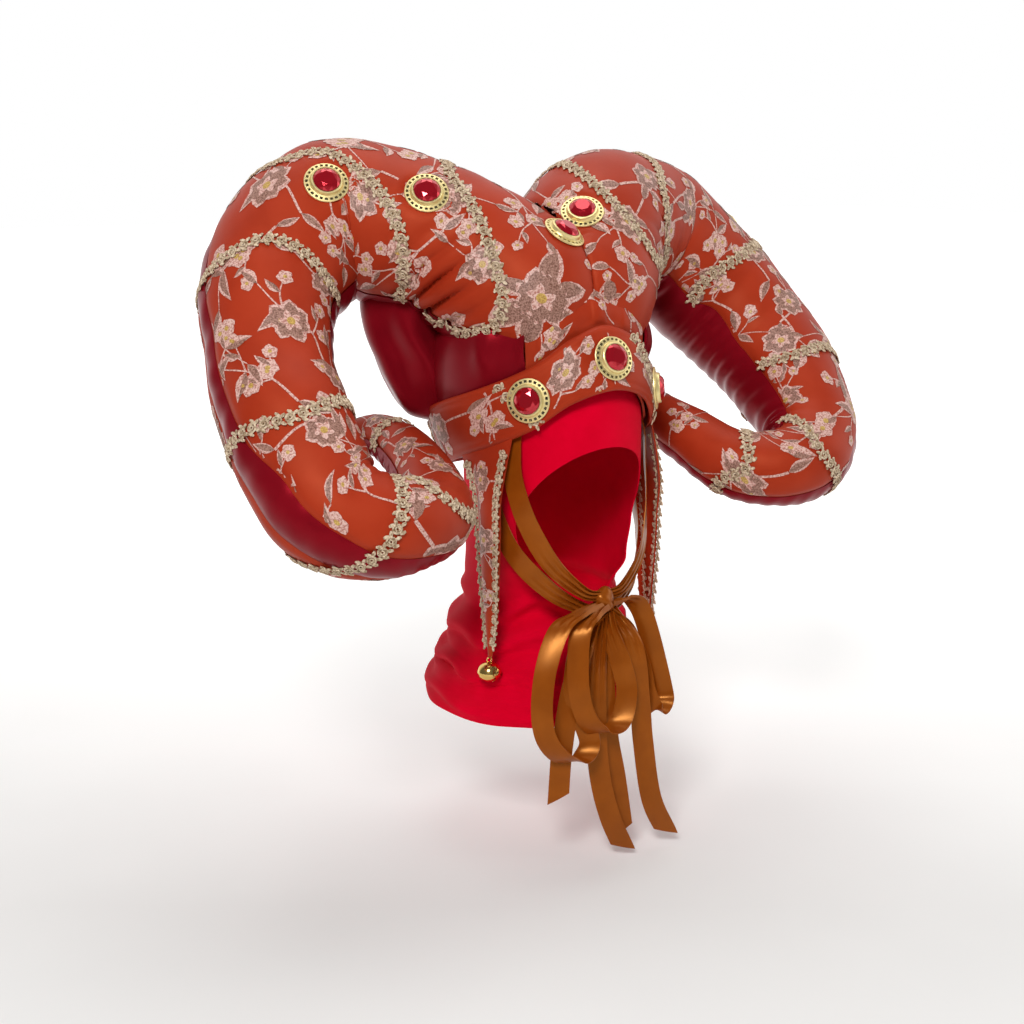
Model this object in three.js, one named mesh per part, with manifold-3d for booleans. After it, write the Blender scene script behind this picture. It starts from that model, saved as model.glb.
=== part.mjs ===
// Horned headdress: two stuffed, curling horns of brocade on a cap with a turned-up brow band, ear flaps
// that end in bells, ribbon ties with a bow, and the knitted hood that is worn underneath.
// Millimetres, +Z up. The face looks along -Y, and +X is the wearer's left. The origin lies in the middle
// of the head opening, level with the centre jewel of the brow band.
import * as THREE from "three";
import { mergeVertices } from "three/addons/utils/BufferGeometryUtils.js";
import Module from "manifold-3d";

const solids = await Module();
solids.setup();

// Clearance between pieces that touch on the real object.
const GAP = 0.35;
// Depth of the satin strips that are let into the horns.
const GUSSET_DEPTH = 1.8;
const GUSSET_GAP = 0.6;
const CAP_WALL = 3;
const BAND_THICKNESS = 8;
const FLAP_THICKNESS = 2.4;
const HOOD_WALL = 2;
const RIBBON_WIDTH = 20;
const RIBBON_THICKNESS = 1;
const BELL_RADIUS = 11.5;
const BELL_WALL = 1.1;
const BELL_SLOT = 1.6;
// Height of a bell's shell as a share of its width.
const BELL_FLATNESS = 0.86;
const SETTING_RADIUS = 20.5;
// Heights in a jewel: the rim of its setting, the seat of the stone, the collar round it and the stone's table.
const JEWEL_HEIGHTS = { rim: 1.8, seat: 3.4, collar: 6, crown: 8.6, table: 10 };
const STONE_RADIUS = 12.3;
const STONE_SIDES = 10;
const SETTING_SIDES = 12;
// Half axes of the head opening at the lower edge of the cap, outside of its wall.
const CAP_HALF_WIDTH = 88;
const CAP_HALF_LENGTH = 107;
const CAP_TOP = { back: 12, up: 74 };

const table = (columns, rows) =>
  rows.map((row) => Object.fromEntries(columns.map((name, index) => [name, row[index]])));

// Stations along each horn from the root inside the cap to the tip: distance to the side, back and up,
// and the radius of the stuffing. The two horns were stuffed by hand and differ a little.
const HORN_COLUMNS = ["out", "back", "up", "radius"];
const HORN_STATIONS = {
  right: table(HORN_COLUMNS, [
    [28, -5, 40, 78], [94, 50, 92, 72], [178, 104, 110, 75], [248, 84, 58, 66.5],
    [278, 28, -8, 57], [284, -27, -66, 57.5], [274, -75, -118, 55], [241, -102, -136, 46.5],
    [204, -106, -138, 39], [172, -82, -138, 34], [152, -30, -122, 29], [144, 30, -103, 24],
    [146, 82, -96, 20], [164, 105, -106, 17], [174, 92, -126, 14], [168, 66, -136, 10],
  ]),
  left: table(HORN_COLUMNS, [
    [28, -5, 40, 78], [86, 47, 96, 77], [176, 84, 95, 70], [244, 69, 36, 70],
    [277, 24, -17, 64.5], [282, -28, -61, 58], [268, -83, -103, 48.5], [236, -110, -126, 43],
    [199, -109, -133, 38], [165, -79, -126, 33], [147, -27, -103, 28], [140, 32, -87, 24],
    [143, 83, -88, 20], [160, 105, -101, 17], [170, 92, -122, 14], [164, 66, -134, 10],
  ]),
};
const RINGS_PER_STATION = 2;
// Turns at which the rounded root below the first station gets its rings, in degrees.
const ROOT_TURNS = [75, 50, 25];
// Share of a bend's radius that the stuffing may fill towards the middle of the bend.
const HOLLOW_SHARE = 0.72;
// Where the two satin strips of a horn face, station by station, and their reach to the back and to the front
// of that, in degrees round the horn. The inner strip follows the hollow of the curl, and the outer strip
// its back.
const GUSSET_COLUMNS = ["station", "out", "back", "up", "half", "front"];
const INNER_GUSSET = table(GUSSET_COLUMNS, [
  [0, -0.1, 0.2, -1, 40, 78], [0.4, -0.18, 0.16, -0.98, 41, 57], [1, -0.3, 0.1, -0.95, 42, 45],
  [2.5, -0.5, -0.1, -0.85, 46, 46], [3.5, -0.92, 0.06, -0.37, 48, 48], [5, -0.65, 0.65, 0.3, 38, 38],
  [7.5, 0.1, 0.75, 0.65, 32, 32], [10, 0.8, 0.2, -0.5, 40, 40], [12, 0.75, 0, -0.65, 38, 38],
]);
const OUTER_GUSSET = table(GUSSET_COLUMNS, [
  [0, -0.4, 0.9, 0.2, 8, 8], [1, -0.2, 0.95, 0.2, 10, 10], [2.2, 0.5, 0.78, 0.36, 12, 12],
  [3.3, 0.88, 0.14, 0.45, 24, -2], [4.2, 0.96, -0.11, 0.28, 26, -2], [5, 0.97, -0.2, 0.08, 24, 6],
  [5.8, 0.86, -0.49, -0.1, 21, 21], [8, 0.2, -0.5, -0.85, 24, 24], [10, -0.61, 0.16, -0.78, 30, 30],
  [12, -0.61, 0.16, -0.78, 30, 30],
]);
// Points round a horn in the brocade at the back and front, and in each strip.
const BACK_POINTS = 5;
const FRONT_POINTS = 6;
const STRIP_POINTS = 3;

// The brow band from the front round to the back: its lower and upper edge, how far the upper edge leans in
// over the lower one, or out where it is negative, and how far the cloth of the cap puffs out above it.
const BAND_ROWS = table(["angle", "lower", "upper", "lean", "puff"], [
  [0, -38, 20, 20, 2], [25, -49, 9, 13, 2], [48, -76, -16, 6, 6], [90, -108, -50, -14, 10],
  [130, -130, -74, -18, 14], [180, -138, -82, -16, 16],
]);
// Half the angle of the brocade front of the cap.
const CAP_FRONT_ANGLE = 52;
const CAP_PLEATS = { count: 11, depth: 2.2 };
// How far the cap's wall is turned in at its lower edge, where it meets the hood.
const CAP_TURN_IN = 6.2;

// The satin pouch between the cap and the underside of each horn, from below to the top.
const PUFF_ROWS = table(["up", "out", "back", "radius"], [
  [-84, 84, 72, 12], [-74, 90, 76, 28], [-48, 98, 78, 36], [-18, 104, 80, 40], [12, 110, 82, 42],
  [44, 113, 85, 42], [66, 113, 85, 30],
]);

// Folds round a pouch, with their depth as a share of its radius.
const PUFF_FOLDS = { count: 5, depth: 0.05 };

// The hood from the crown of the head to its hem on the shoulders.
const HOOD_ROWS = table(["up", "half", "front", "back"], [
  [6, 30, -34, 40], [-6, 56, -70, 74], [-24, 72, -90, 92], [-42, 77, -96, 96],
  [-140, 78, -96.5, 96.5], [-180, 76, -95, 94], [-214, 75, -88, 96], [-240, 74, -68, 96],
  [-262, 79, -62, 100], [-286, 89, -72, 108], [-306, 97, -84, 118], [-318, 100, -87, 121],
  [-332, 112, -98, 128], [-344, 114, -99, 128], [-362, 123, -110, 134],
]);
const HOOD_SIDES = 18;
const FACE_OPENING = { halfWidth: 66, halfHeight: 80, up: -172 };

// An ear flap below the band: height, half width, place to the side and along, and the depth of its curl.
const FLAP_ROWS = table(["up", "half", "out", "back", "curl"], [
  [-140, 23, 98, -38, 6], [-180, 19, 99, -40, 8], [-220, 15, 98, -42, 8], [-260, 10, 97, -43, 6],
  [-297, 4, 95, -43, 2],
]);
const FLAP_ANGLES = { front: 57, back: 92 };
const FLAP_COLUMNS = 6;

const KNOT = { up: -243, back: -99, halfWidth: 11, halfDepth: 9, halfHeight: 15 };
const POINT_COLUMNS = ["out", "back", "up"];
// Ribbon ties on one side, from the edge of the cap to the knot.
const STRAPS = {
  front: table(POINT_COLUMNS, [
    [71, -50, -70], [71, -51, -92], [70, -53, -122], [65, -66, -162], [50, -85, -202], [24, -98, -230],
    [4, -100, -236],
  ]),
  back: table(POINT_COLUMNS, [
    [80, -17, -84], [80, -18, -106], [78, -24, -142], [71, -48, -192], [48, -76, -228], [22, -91, -247],
    [4, -96, -250],
  ]),
};
// Loops and tails of the bow. Each starts in the knot, and the row of a loop also ends there.
const LOOPS = [
  table(POINT_COLUMNS, [
    [-6, -102, -245], [-34, -109, -247], [-60, -114, -257], [-79, -121, -288], [-87, -126, -324],
    [-85, -130, -353], [-70, -133, -374], [-50, -134, -380], [-37, -132, -368], [-43, -126, -341],
    [-47, -119, -311], [-33, -111, -268], [-4, -103, -251],
  ]),
  table(POINT_COLUMNS, [
    [-2, -104, -246], [-22, -113, -250], [-40, -119, -262], [-47, -126, -300], [-46, -131, -328],
    [-38, -135, -348], [-23, -137, -357], [-4, -136, -350], [6, -131, -324], [3, -124, -297],
    [-1, -112, -270], [0, -105, -252],
  ]),
  table(POINT_COLUMNS, [
    [6, -102, -243], [24, -103, -242], [38, -105, -252], [47, -110, -280], [58, -118, -334],
    [56, -123, -348], [45, -125, -354], [38, -119, -336], [34, -114, -310], [20, -108, -270],
    [3, -103, -252],
  ]),
];
const TAILS = [
  table(POINT_COLUMNS, [
    [-8, -101, -250], [-44, -114, -312], [-60, -120, -370], [-65, -121, -422],
  ]),
  table(POINT_COLUMNS, [
    [-3, -102, -250], [-20, -118, -320], [-23, -123, -370], [-19, -125, -412], [-8, -126, -452],
    [9, -125, -488],
  ]),
  table(POINT_COLUMNS, [
    [0, -100, -250], [-8, -114, -320], [-7, -119, -370], [2, -120, -415], [13, -119, -474],
  ]),
  table(POINT_COLUMNS, [
    [8, -101, -250], [19, -122, -282], [24, -128, -340], [28, -129, -381], [40, -128, -442],
    [60, -127, -483],
  ]),
];
// The way the ribbons of the bow lie across their length.
const LOOP_ACROSS = new THREE.Vector3(0.8, -0.6, 0.1);
const TAIL_ACROSS = new THREE.Vector3(0.9, -0.4, 0);

// Jewels: on a horn by station and by the way they face, on the band by angle. They were sewn on by eye, so
// those of the two horns don't match.
// Each presses a little way into the stuffing.
const JEWEL_COLUMNS = ["name", "station", "out", "back", "up", "sunk"];
const HORN_JEWELS = {
  right: table(JEWEL_COLUMNS, [
    ["base", 0, -0.22, -0.56, 0.8, 2.5], ["middle", 1.15, 0.34, -0.73, 0.59, 2.5],
    ["outer", 2.15, 0.27, -0.78, 0.57, 2.5],
  ]),
  left: table(JEWEL_COLUMNS, [
    ["base", 0.36, -0.34, -0.52, 0.78, 2.5], ["middle", 1.8, 0.07, 0.2, 0.97, 6],
    ["outer", 2.75, 0.42, 0.15, 0.89, 2.5],
  ]),
};
const BAND_JEWELS = table(["name", "angle"], [["right", -48], ["centre", 0], ["left", 48]]);

const radians = THREE.MathUtils.degToRad;
const SIDES = { right: -1, left: 1 };

// Surfaces
const BROCADE = { color: 0xb03a22, roughness: 0.62, metalness: 0 };
const SATIN = { color: 0x8e1626, roughness: 0.38, metalness: 0 };
const KNIT = { color: 0xc8001e, roughness: 0.85, metalness: 0 };
const RIBBON = { color: 0xa85f1a, roughness: 0.4, metalness: 0 };
const GOLD = { color: 0xd9bd6a, roughness: 0.3, metalness: 1 };
const RUBY = { color: 0xc8102e, roughness: 0.05, metalness: 0 };

const headdress = new THREE.Group();

function add(name, geometry, surface) {
  const mesh = new THREE.Mesh(geometry, new THREE.MeshStandardMaterial(surface));
  mesh.name = name;
  headdress.add(mesh);
  return mesh;
}

// Turns points and triangles into a closed geometry that faces outward.
function closed(points, triangles) {
  const volume = triangles.reduce((sum, [a, b, c]) => {
    const cross = new THREE.Vector3().crossVectors(points[b], points[c]);
    return sum + points[a].dot(cross);
  }, 0);
  const facing = volume < 0 ? triangles.map(([a, b, c]) => [a, c, b]) : triangles;
  const geometry = new THREE.BufferGeometry().setFromPoints(points);
  geometry.setIndex(facing.flat());
  return geometry;
}

const quad = (a, b, c, d) => [[a, b, c], [a, c, d]];

// A solid through rings of points, closed by a point at each end.
function loft(rings, startPoint, endPoint) {
  const count = rings[0].length;
  const points = [...rings.flat(), startPoint, endPoint];
  const start = points.length - 2;
  const triangles = [];
  for (let ring = 0; ring + 1 < rings.length; ring += 1) {
    for (let side = 0; side < count; side += 1) {
      const next = (side + 1) % count;
      const low = ring * count;
      triangles.push(...quad(low + side, low + next, low + count + next, low + count + side));
    }
  }
  const last = (rings.length - 1) * count;
  for (let side = 0; side < count; side += 1) {
    const next = (side + 1) % count;
    triangles.push([start, next, side], [start + 1, last + side, last + next]);
  }
  return closed(points, triangles);
}

// A sheet with an outer and an inner face, both given as rows of points; wrapped when its rows go right round.
function sheet(outer, inner, wrapped = false) {
  const rows = outer.length;
  const columns = outer[0].length;
  const points = [...outer.flat(), ...inner.flat()];
  const front = (row, column) => (row % rows) * columns + column;
  const back = (row, column) => rows * columns + front(row, column);
  const triangles = [];
  const steps = wrapped ? rows : rows - 1;
  for (let row = 0; row < steps; row += 1) {
    for (let column = 0; column + 1 < columns; column += 1) {
      const corners = [[row, column], [row, column + 1], [row + 1, column + 1], [row + 1, column]];
      triangles.push(...quad(...corners.map((corner) => front(...corner))));
      const [a, b, c, d] = corners.map((corner) => back(...corner));
      triangles.push([a, c, b], [a, d, c]);
    }
    const end = columns - 1;
    triangles.push(...quad(front(row, 0), front(row + 1, 0), back(row + 1, 0), back(row, 0)));
    triangles.push(...quad(front(row, end), back(row, end), back(row + 1, end), front(row + 1, end)));
  }
  if (!wrapped) {
    for (let column = 0; column + 1 < columns; column += 1) {
      const top = rows - 1;
      triangles.push(...quad(front(0, column), back(0, column), back(0, column + 1), front(0, column + 1)));
      triangles.push(
        ...quad(front(top, column), front(top, column + 1), back(top, column + 1), back(top, column)),
      );
    }
  }
  return closed(points, triangles);
}

function toSolid(geometry) {
  const bare = geometry.clone();
  bare.deleteAttribute("normal");
  bare.deleteAttribute("uv");
  const welded = mergeVertices(bare, 1e-3);
  const mesh = new solids.Mesh({
    numProp: 3,
    vertProperties: new Float32Array(welded.attributes.position.array),
    triVerts: new Uint32Array(welded.index.array),
  });
  return new solids.Manifold(mesh);
}

function toGeometry(solid) {
  const mesh = solid.getMesh();
  const geometry = new THREE.BufferGeometry();
  geometry.setAttribute("position", new THREE.BufferAttribute(mesh.vertProperties, 3));
  geometry.setIndex(new THREE.BufferAttribute(mesh.triVerts, 1));
  return geometry;
}

// Keeps the largest body of a solid, because a cut can leave slivers.
function largest(solid) {
  const bodies = solid.decompose();
  return bodies.reduce((best, body) => (body.volume() > best.volume() ? body : best));
}

// A value from a table, blended smoothly between the rows on either side of a position.
function blend(rows, key, column, position) {
  const last = rows.length - 1;
  const next = rows.findIndex((row) => row[key] >= position);
  if (next === 0) {
    return rows[0][column];
  }
  if (next < 0) {
    return rows[last][column];
  }
  const span = rows[next][key] - rows[next - 1][key];
  const share = THREE.MathUtils.smoothstep((position - rows[next - 1][key]) / span, 0, 1);
  return THREE.MathUtils.lerp(rows[next - 1][column], rows[next][column], share);
}

// Horns: their curves are worked out as out, back and up, and mirrored to their side.
class Horn {
  constructor(name) {
    const stations = HORN_STATIONS[name];
    this.side = SIDES[name];
    this.last = stations.length - 1;
    this.line = new THREE.CatmullRomCurve3(
      stations.map((row) => new THREE.Vector3(row.out, row.back, row.up)), false, "catmullrom", 0.5,
    );
    this.girth = new THREE.CatmullRomCurve3(
      stations.map((row) => new THREE.Vector3(row.radius, 0, 0)), false, "catmullrom", 0.5,
    );
    this.frames = this.rounded(this.transport());
  }

  // Puts the rings of a half ball before the first frame, so that the root is rounded like the stuffing.
  rounded(frames) {
    const first = frames[0];
    const root = ROOT_TURNS.map((turn) => ({
      ...first,
      centre: first.centre.clone().addScaledVector(first.tangent, -first.radius * Math.sin(radians(turn))),
      radius: first.radius * Math.cos(radians(turn)),
    }));
    return [...root, ...frames];
  }

  radius(station) {
    return this.girth.getPoint(station / this.last).x;
  }

  // The way a strip faces at a station, square to the horn's own direction.
  facing(rows, station, tangent) {
    const way = new THREE.Vector3(
      blend(rows, "station", "out", station),
      blend(rows, "station", "back", station),
      blend(rows, "station", "up", station),
    );
    return way.addScaledVector(tangent, -way.dot(tangent)).normalize();
  }

  // A frame at each ring: past the strips' last row it is carried on from the ring before.
  transport() {
    const frames = [];
    const tableEnd = INNER_GUSSET[INNER_GUSSET.length - 1].station;
    for (let ring = 0; ring <= this.last * RINGS_PER_STATION; ring += 1) {
      const station = ring / RINGS_PER_STATION;
      const centre = this.line.getPoint(station / this.last);
      const tangent = this.line.getTangent(station / this.last);
      const before = frames[ring - 1];
      const inner = station <= tableEnd
        ? this.facing(INNER_GUSSET, station, tangent)
        : before.inner.clone().addScaledVector(tangent, -before.inner.dot(tangent)).normalize();
      const round = new THREE.Vector3().crossVectors(tangent, inner);
      const outer = this.facing(OUTER_GUSSET, Math.min(station, tableEnd), tangent);
      const turned = Math.atan2(outer.dot(round), outer.dot(inner));
      const across = station <= tableEnd ? (turned + 2 * Math.PI) % (2 * Math.PI) : before.across;
      const bend = this.bend(station);
      frames.push({ station, centre, tangent, inner, round, across, bend, radius: this.radius(station) });
    }
    return frames;
  }

  // How sharply the horn bends at a station, as a vector towards the middle of the bend.
  bend(station) {
    const reach = 0.5;
    const before = Math.max(0, station - reach) / this.last;
    const after = Math.min(this.last, station + reach) / this.last;
    const length = this.line.getPoint(after).distanceTo(this.line.getPoint(before));
    return this.line.getTangent(after).sub(this.line.getTangent(before)).divideScalar(length);
  }

  // A point round a ring. In the hollow of a sharp bend the stuffing gives way, so that rings never cross.
  place(frame, angle, radius) {
    const way = frame.inner.clone().multiplyScalar(Math.cos(angle))
      .addScaledVector(frame.round, Math.sin(angle));
    const room = HOLLOW_SHARE / Math.max(1e-6, way.dot(frame.bend));
    const give = Math.max(0, frame.radius - room);
    const point = frame.centre.clone().addScaledVector(way, radius - give);
    return point.setX(point.x * this.side);
  }

  // Points on an arc of one ring.
  arc(frame, from, to, count, radius) {
    return Array.from({ length: count }, (_, index) =>
      this.place(frame, THREE.MathUtils.lerp(from, to, index / (count - 1)), radius));
  }

  // One ring of the horn, sunk where the strips lie.
  ring(frame) {
    const inner = radians(blend(INNER_GUSSET, "station", "half", frame.station));
    const front = radians(blend(INNER_GUSSET, "station", "front", frame.station));
    const outer = radians(blend(OUTER_GUSSET, "station", "half", frame.station));
    const foremost = radians(blend(OUTER_GUSSET, "station", "front", frame.station));
    const sunk = frame.radius - GUSSET_DEPTH - GUSSET_GAP;
    const whole = 2 * Math.PI;
    return [
      ...this.arc(frame, -front, inner, STRIP_POINTS, sunk),
      ...this.arc(frame, inner, frame.across - outer, BACK_POINTS, frame.radius),
      ...this.arc(frame, frame.across - outer, frame.across + foremost, STRIP_POINTS, sunk),
      ...this.arc(frame, frame.across + foremost, whole - front, FRONT_POINTS, frame.radius),
    ];
  }

  tip(frame, length) {
    const point = frame.centre.clone().addScaledVector(frame.tangent, length);
    return point.setX(point.x * this.side);
  }

  body() {
    const end = this.frames[this.frames.length - 1];
    const rings = this.frames.map((frame) => this.ring(frame));
    return loft(rings, this.tip(this.frames[0], -3), this.tip(end, end.radius * 0.7));
  }

  // The plain outside of the horn, grown by a clearance, for cutting its neighbours.
  hull(clearance) {
    const end = this.frames[this.frames.length - 1];
    const count = 20;
    const rings = this.frames.map((frame) =>
      this.arc(frame, 0, 2 * Math.PI * (1 - 1 / count), count, frame.radius + clearance));
    return loft(rings, this.tip(this.frames[0], -3), this.tip(end, end.radius));
  }

  // A strip of satin that fills its channel, with its edges a gap away from the brocade.
  gusset(rows, onInner) {
    const end = rows[rows.length - 1].station;
    const frames = this.frames.filter((frame) => frame.station <= end);
    const grid = (depth) => frames.map((frame) => {
      const slack = GUSSET_GAP / frame.radius;
      const half = radians(blend(rows, "station", "half", frame.station)) - slack;
      const front = radians(blend(rows, "station", "front", frame.station)) - slack;
      const [from, to] = onInner ? [-front, half] : [frame.across - half, frame.across + front];
      return this.arc(frame, from, to, STRIP_POINTS, frame.radius - depth);
    });
    return sheet(grid(0), grid(GUSSET_DEPTH));
  }

  // The seat of a jewel, at its station and facing its way.
  seat(row) {
    const share = row.station / this.last;
    const centre = this.line.getPoint(share);
    const tangent = this.line.getTangent(share);
    const way = new THREE.Vector3(row.out, row.back, row.up);
    way.addScaledVector(tangent, -way.dot(tangent)).normalize();
    const point = centre.addScaledVector(way, this.radius(row.station) - row.sunk);
    const mirrored = new THREE.Vector3(this.side, 1, 1);
    return { point: point.multiply(mirrored), normal: way.multiply(mirrored) };
  }
}

// How far an angle lies from the front, either way round.
const fromFront = (angle) => Math.abs(THREE.MathUtils.euclideanModulo(angle + 180, 360) - 180);

// The cap's outline at an angle from the front, grown by a clearance, at a share of the way from band to top.
function capPoint(angle, share, grow) {
  const turn = radians(angle);
  const away = fromFront(angle);
  const upper = blend(BAND_ROWS, "angle", "upper", away);
  const lean = blend(BAND_ROWS, "angle", "lean", away);
  const puff = blend(BAND_ROWS, "angle", "puff", away);
  const swell = puff * Math.sin(Math.PI * Math.min(1, share * 1.6));
  const inward = Math.cos(share * Math.PI / 2) ** 0.75;
  const rise = Math.sin(share * Math.PI / 2);
  const pleat = away < CAP_FRONT_ANGLE ? Math.cos(angle * CAP_PLEATS.count * Math.PI / 180) : 0;
  const fold = CAP_PLEATS.depth * pleat * Math.max(0, 1 - 2.5 * share);
  const round = -lean + swell + fold + grow;
  return new THREE.Vector3(
    ((CAP_HALF_WIDTH + round) * inward) * Math.sin(turn),
    CAP_TOP.back * (1 - inward) - (CAP_HALF_LENGTH + round) * inward * Math.cos(turn),
    THREE.MathUtils.lerp(upper, CAP_TOP.up + grow, rise),
  );
}

// The lower edge of the cap inside the band. Its wall is turned in there and meets the hood.
function capHem(angle, radiusChange) {
  const turn = radians(angle);
  const lower = blend(BAND_ROWS, "angle", "lower", fromFront(angle));
  return new THREE.Vector3(
    (CAP_HALF_WIDTH + radiusChange) * Math.sin(turn),
    -(CAP_HALF_LENGTH + radiusChange) * Math.cos(turn),
    lower + 4,
  );
}

const CAP_SHARES = [0, 0.11, 0.25, 0.42, 0.62, 0.84, 0.97];

function capColumn(angle, grow, hemChange) {
  return [capHem(angle, hemChange), ...CAP_SHARES.map((share) => capPoint(angle, share, grow))];
}

const spread = (from, to, count) =>
  Array.from({ length: count }, (_, index) => from + ((to - from) * index) / (count - 1));

// The seam between the brocade front and the satin back is a narrow gap in angle.
const CAP_SEAM = 0.2;
const CAP_ANGLES = {
  front: spread(CAP_SEAM - CAP_FRONT_ANGLE, CAP_FRONT_ANGLE - CAP_SEAM, 13),
  back: spread(CAP_FRONT_ANGLE, 360 - CAP_FRONT_ANGLE, 21),
};

function capPanel(angles) {
  const outer = angles.map((angle) => capColumn(angle, 0, 0));
  const inner = angles.map((angle) => capColumn(angle, -CAP_WALL, -(CAP_WALL + CAP_TURN_IN)));
  return sheet(outer, inner);
}

// The cap as a filled body, grown by a clearance.
function capFilled(grow) {
  const angles = [...CAP_ANGLES.front, ...CAP_ANGLES.back];
  const columns = angles.map((angle) => capColumn(angle, grow, grow));
  const rings = columns[0].map((_, level) => columns.map((column) => column[level]));
  const top = new THREE.Vector3(0, CAP_TOP.back, CAP_TOP.up + grow);
  return loft(rings, new THREE.Vector3(0, 0, -110), top);
}

// The brow band, a padded cuff with rounded edges that is turned up round the cap.
const BAND_PROFILE = table(["height", "depth"], [[0, 0.35], [0.08, 0.85], [0.5, 1], [0.92, 0.85], [1, 0.35]]);

function bandPoint(angle, height, depth) {
  const turn = radians(angle);
  const away = fromFront(angle);
  const lean = blend(BAND_ROWS, "angle", "lean", away) * height;
  const lower = blend(BAND_ROWS, "angle", "lower", away);
  const upper = blend(BAND_ROWS, "angle", "upper", away);
  const round = CAP_PLEATS.depth + 2 * GAP - lean + depth;
  return new THREE.Vector3(
    (CAP_HALF_WIDTH + round) * Math.sin(turn),
    -(CAP_HALF_LENGTH + round) * Math.cos(turn),
    THREE.MathUtils.lerp(lower, upper, height),
  );
}

function brimBand() {
  const count = 32;
  const angles = Array.from({ length: count }, (_, index) => -180 + (360 * index) / count);
  const face = (scale) => angles.map((angle) =>
    BAND_PROFILE.map((row) => bandPoint(angle, row.height, scale * row.depth * BAND_THICKNESS)));
  return sheet(face(1), face(0), true);
}

// The satin pouch under a horn, cut to the cap, the band and the horn.
function sidePuff(name, horn, cap, band) {
  const count = 12;
  const side = SIDES[name];
  const rings = PUFF_ROWS.map((row) => Array.from({ length: count }, (_, index) => {
    const turn = (2 * Math.PI * index) / count;
    const fold = 1 + PUFF_FOLDS.depth * Math.cos(turn * PUFF_FOLDS.count);
    return new THREE.Vector3(
      side * (row.out + row.radius * fold * Math.cos(turn)),
      row.back + row.radius * fold * Math.sin(turn),
      row.up,
    );
  }));
  const end = (row, lift) => new THREE.Vector3(side * row.out, row.back, row.up + lift);
  const last = PUFF_ROWS[PUFF_ROWS.length - 1];
  const pouch = toSolid(loft(rings, end(PUFF_ROWS[0], -2), end(last, 4)));
  return toGeometry(largest(pouch.subtract(cap).subtract(band).subtract(toSolid(horn.hull(GAP + 0.6)))));
}

// The hood: a lofted shell, open at the hem, with an oval opening for the face.
function hoodLoft(shrink, hemDrop) {
  const rings = HOOD_ROWS.map((row, index) => Array.from({ length: HOOD_SIDES }, (_, side) => {
    const turn = (2 * Math.PI * side) / HOOD_SIDES;
    const drop = index === HOOD_ROWS.length - 1 ? hemDrop : 0;
    const middle = (row.front + row.back) / 2;
    const length = (row.back - row.front) / 2 - shrink;
    return new THREE.Vector3(
      (row.half - shrink) * Math.sin(turn),
      middle - length * Math.cos(turn),
      row.up - shrink * (index < 2) - drop,
    );
  }));
  const top = new THREE.Vector3(0, 4, HOOD_ROWS[0].up + 1 - shrink);
  const low = new THREE.Vector3(0, 8, HOOD_ROWS[HOOD_ROWS.length - 1].up - hemDrop);
  return toSolid(loft(rings, top, low));
}

function hood() {
  const { halfWidth, halfHeight } = FACE_OPENING;
  const oval = new THREE.Shape().absellipse(0, 0, halfWidth, halfHeight, 0, 2 * Math.PI);
  const depth = 150;
  const cutter = new THREE.ExtrudeGeometry(oval, { depth, bevelEnabled: false, curveSegments: 20 });
  cutter.rotateX(Math.PI / 2);
  cutter.translate(0, -20, FACE_OPENING.up);
  return toGeometry(hoodLoft(0, 0).subtract(hoodLoft(HOOD_WALL, 20)).subtract(toSolid(cutter)));
}

// An ear flap: it hangs from the band's lower edge, narrows and curls lengthwise towards its tip.
function flap(name) {
  const side = SIDES[name];
  const columns = Array.from({ length: FLAP_COLUMNS }, (_, index) => (2 * index) / (FLAP_COLUMNS - 1) - 1);
  const face = (depth) => {
    const top = columns.map((share) => {
      const angle = THREE.MathUtils.lerp(FLAP_ANGLES.front, FLAP_ANGLES.back, (share + 1) / 2);
      const seat = bandPoint(angle, 0, BAND_THICKNESS * 0.3 - depth + 1);
      return seat.setX(seat.x * side).setZ(seat.z - 2 * GAP);
    });
    const rows = FLAP_ROWS.map((row) => columns.map((share) => new THREE.Vector3(
      side * (row.out - depth - row.curl * share * share), row.back + row.half * share, row.up,
    )));
    return [top, ...rows];
  };
  return sheet(face(0), face(FLAP_THICKNESS));
}

// A jingle bell: a thin shell with a cross slot below and a loop on top.
function bell(name) {
  const arc = (radius, from, to, steps) => Array.from({ length: steps + 1 }, (_, index) => {
    const turn = THREE.MathUtils.lerp(from, to, index / steps);
    return new THREE.Vector2(radius * Math.sin(turn), radius * BELL_FLATNESS * Math.cos(turn));
  });
  const outer = arc(BELL_RADIUS, Math.PI * 0.94, 0, 4);
  const inner = arc(BELL_RADIUS - BELL_WALL, 0, Math.PI * 0.94, 4);
  const profile = [...outer, ...inner, outer[0]];
  const shell = new THREE.LatheGeometry(profile, 10).rotateX(Math.PI / 2);
  const slot = new THREE.BoxGeometry(BELL_SLOT, BELL_RADIUS * 1.6, BELL_RADIUS);
  const low = slot.clone().translate(0, 0, -BELL_RADIUS);
  const cross = slot.clone().rotateZ(Math.PI / 2).translate(0, 0, -BELL_RADIUS);
  const loop = new THREE.TorusGeometry(2.6, 0.7, 5, 8).rotateX(Math.PI / 2)
    .translate(0, 0, BELL_RADIUS * BELL_FLATNESS + 2.2);
  const body = toSolid(shell).subtract(toSolid(low)).subtract(toSolid(cross)).add(toSolid(loop));
  const tip = FLAP_ROWS[FLAP_ROWS.length - 1];
  const rise = BELL_RADIUS * BELL_FLATNESS + 5.5 + GAP;
  const mesh = add(name, toGeometry(body), GOLD);
  return { mesh, at: [tip.out - FLAP_THICKNESS / 2, tip.back, tip.up - rise] };
}

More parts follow.
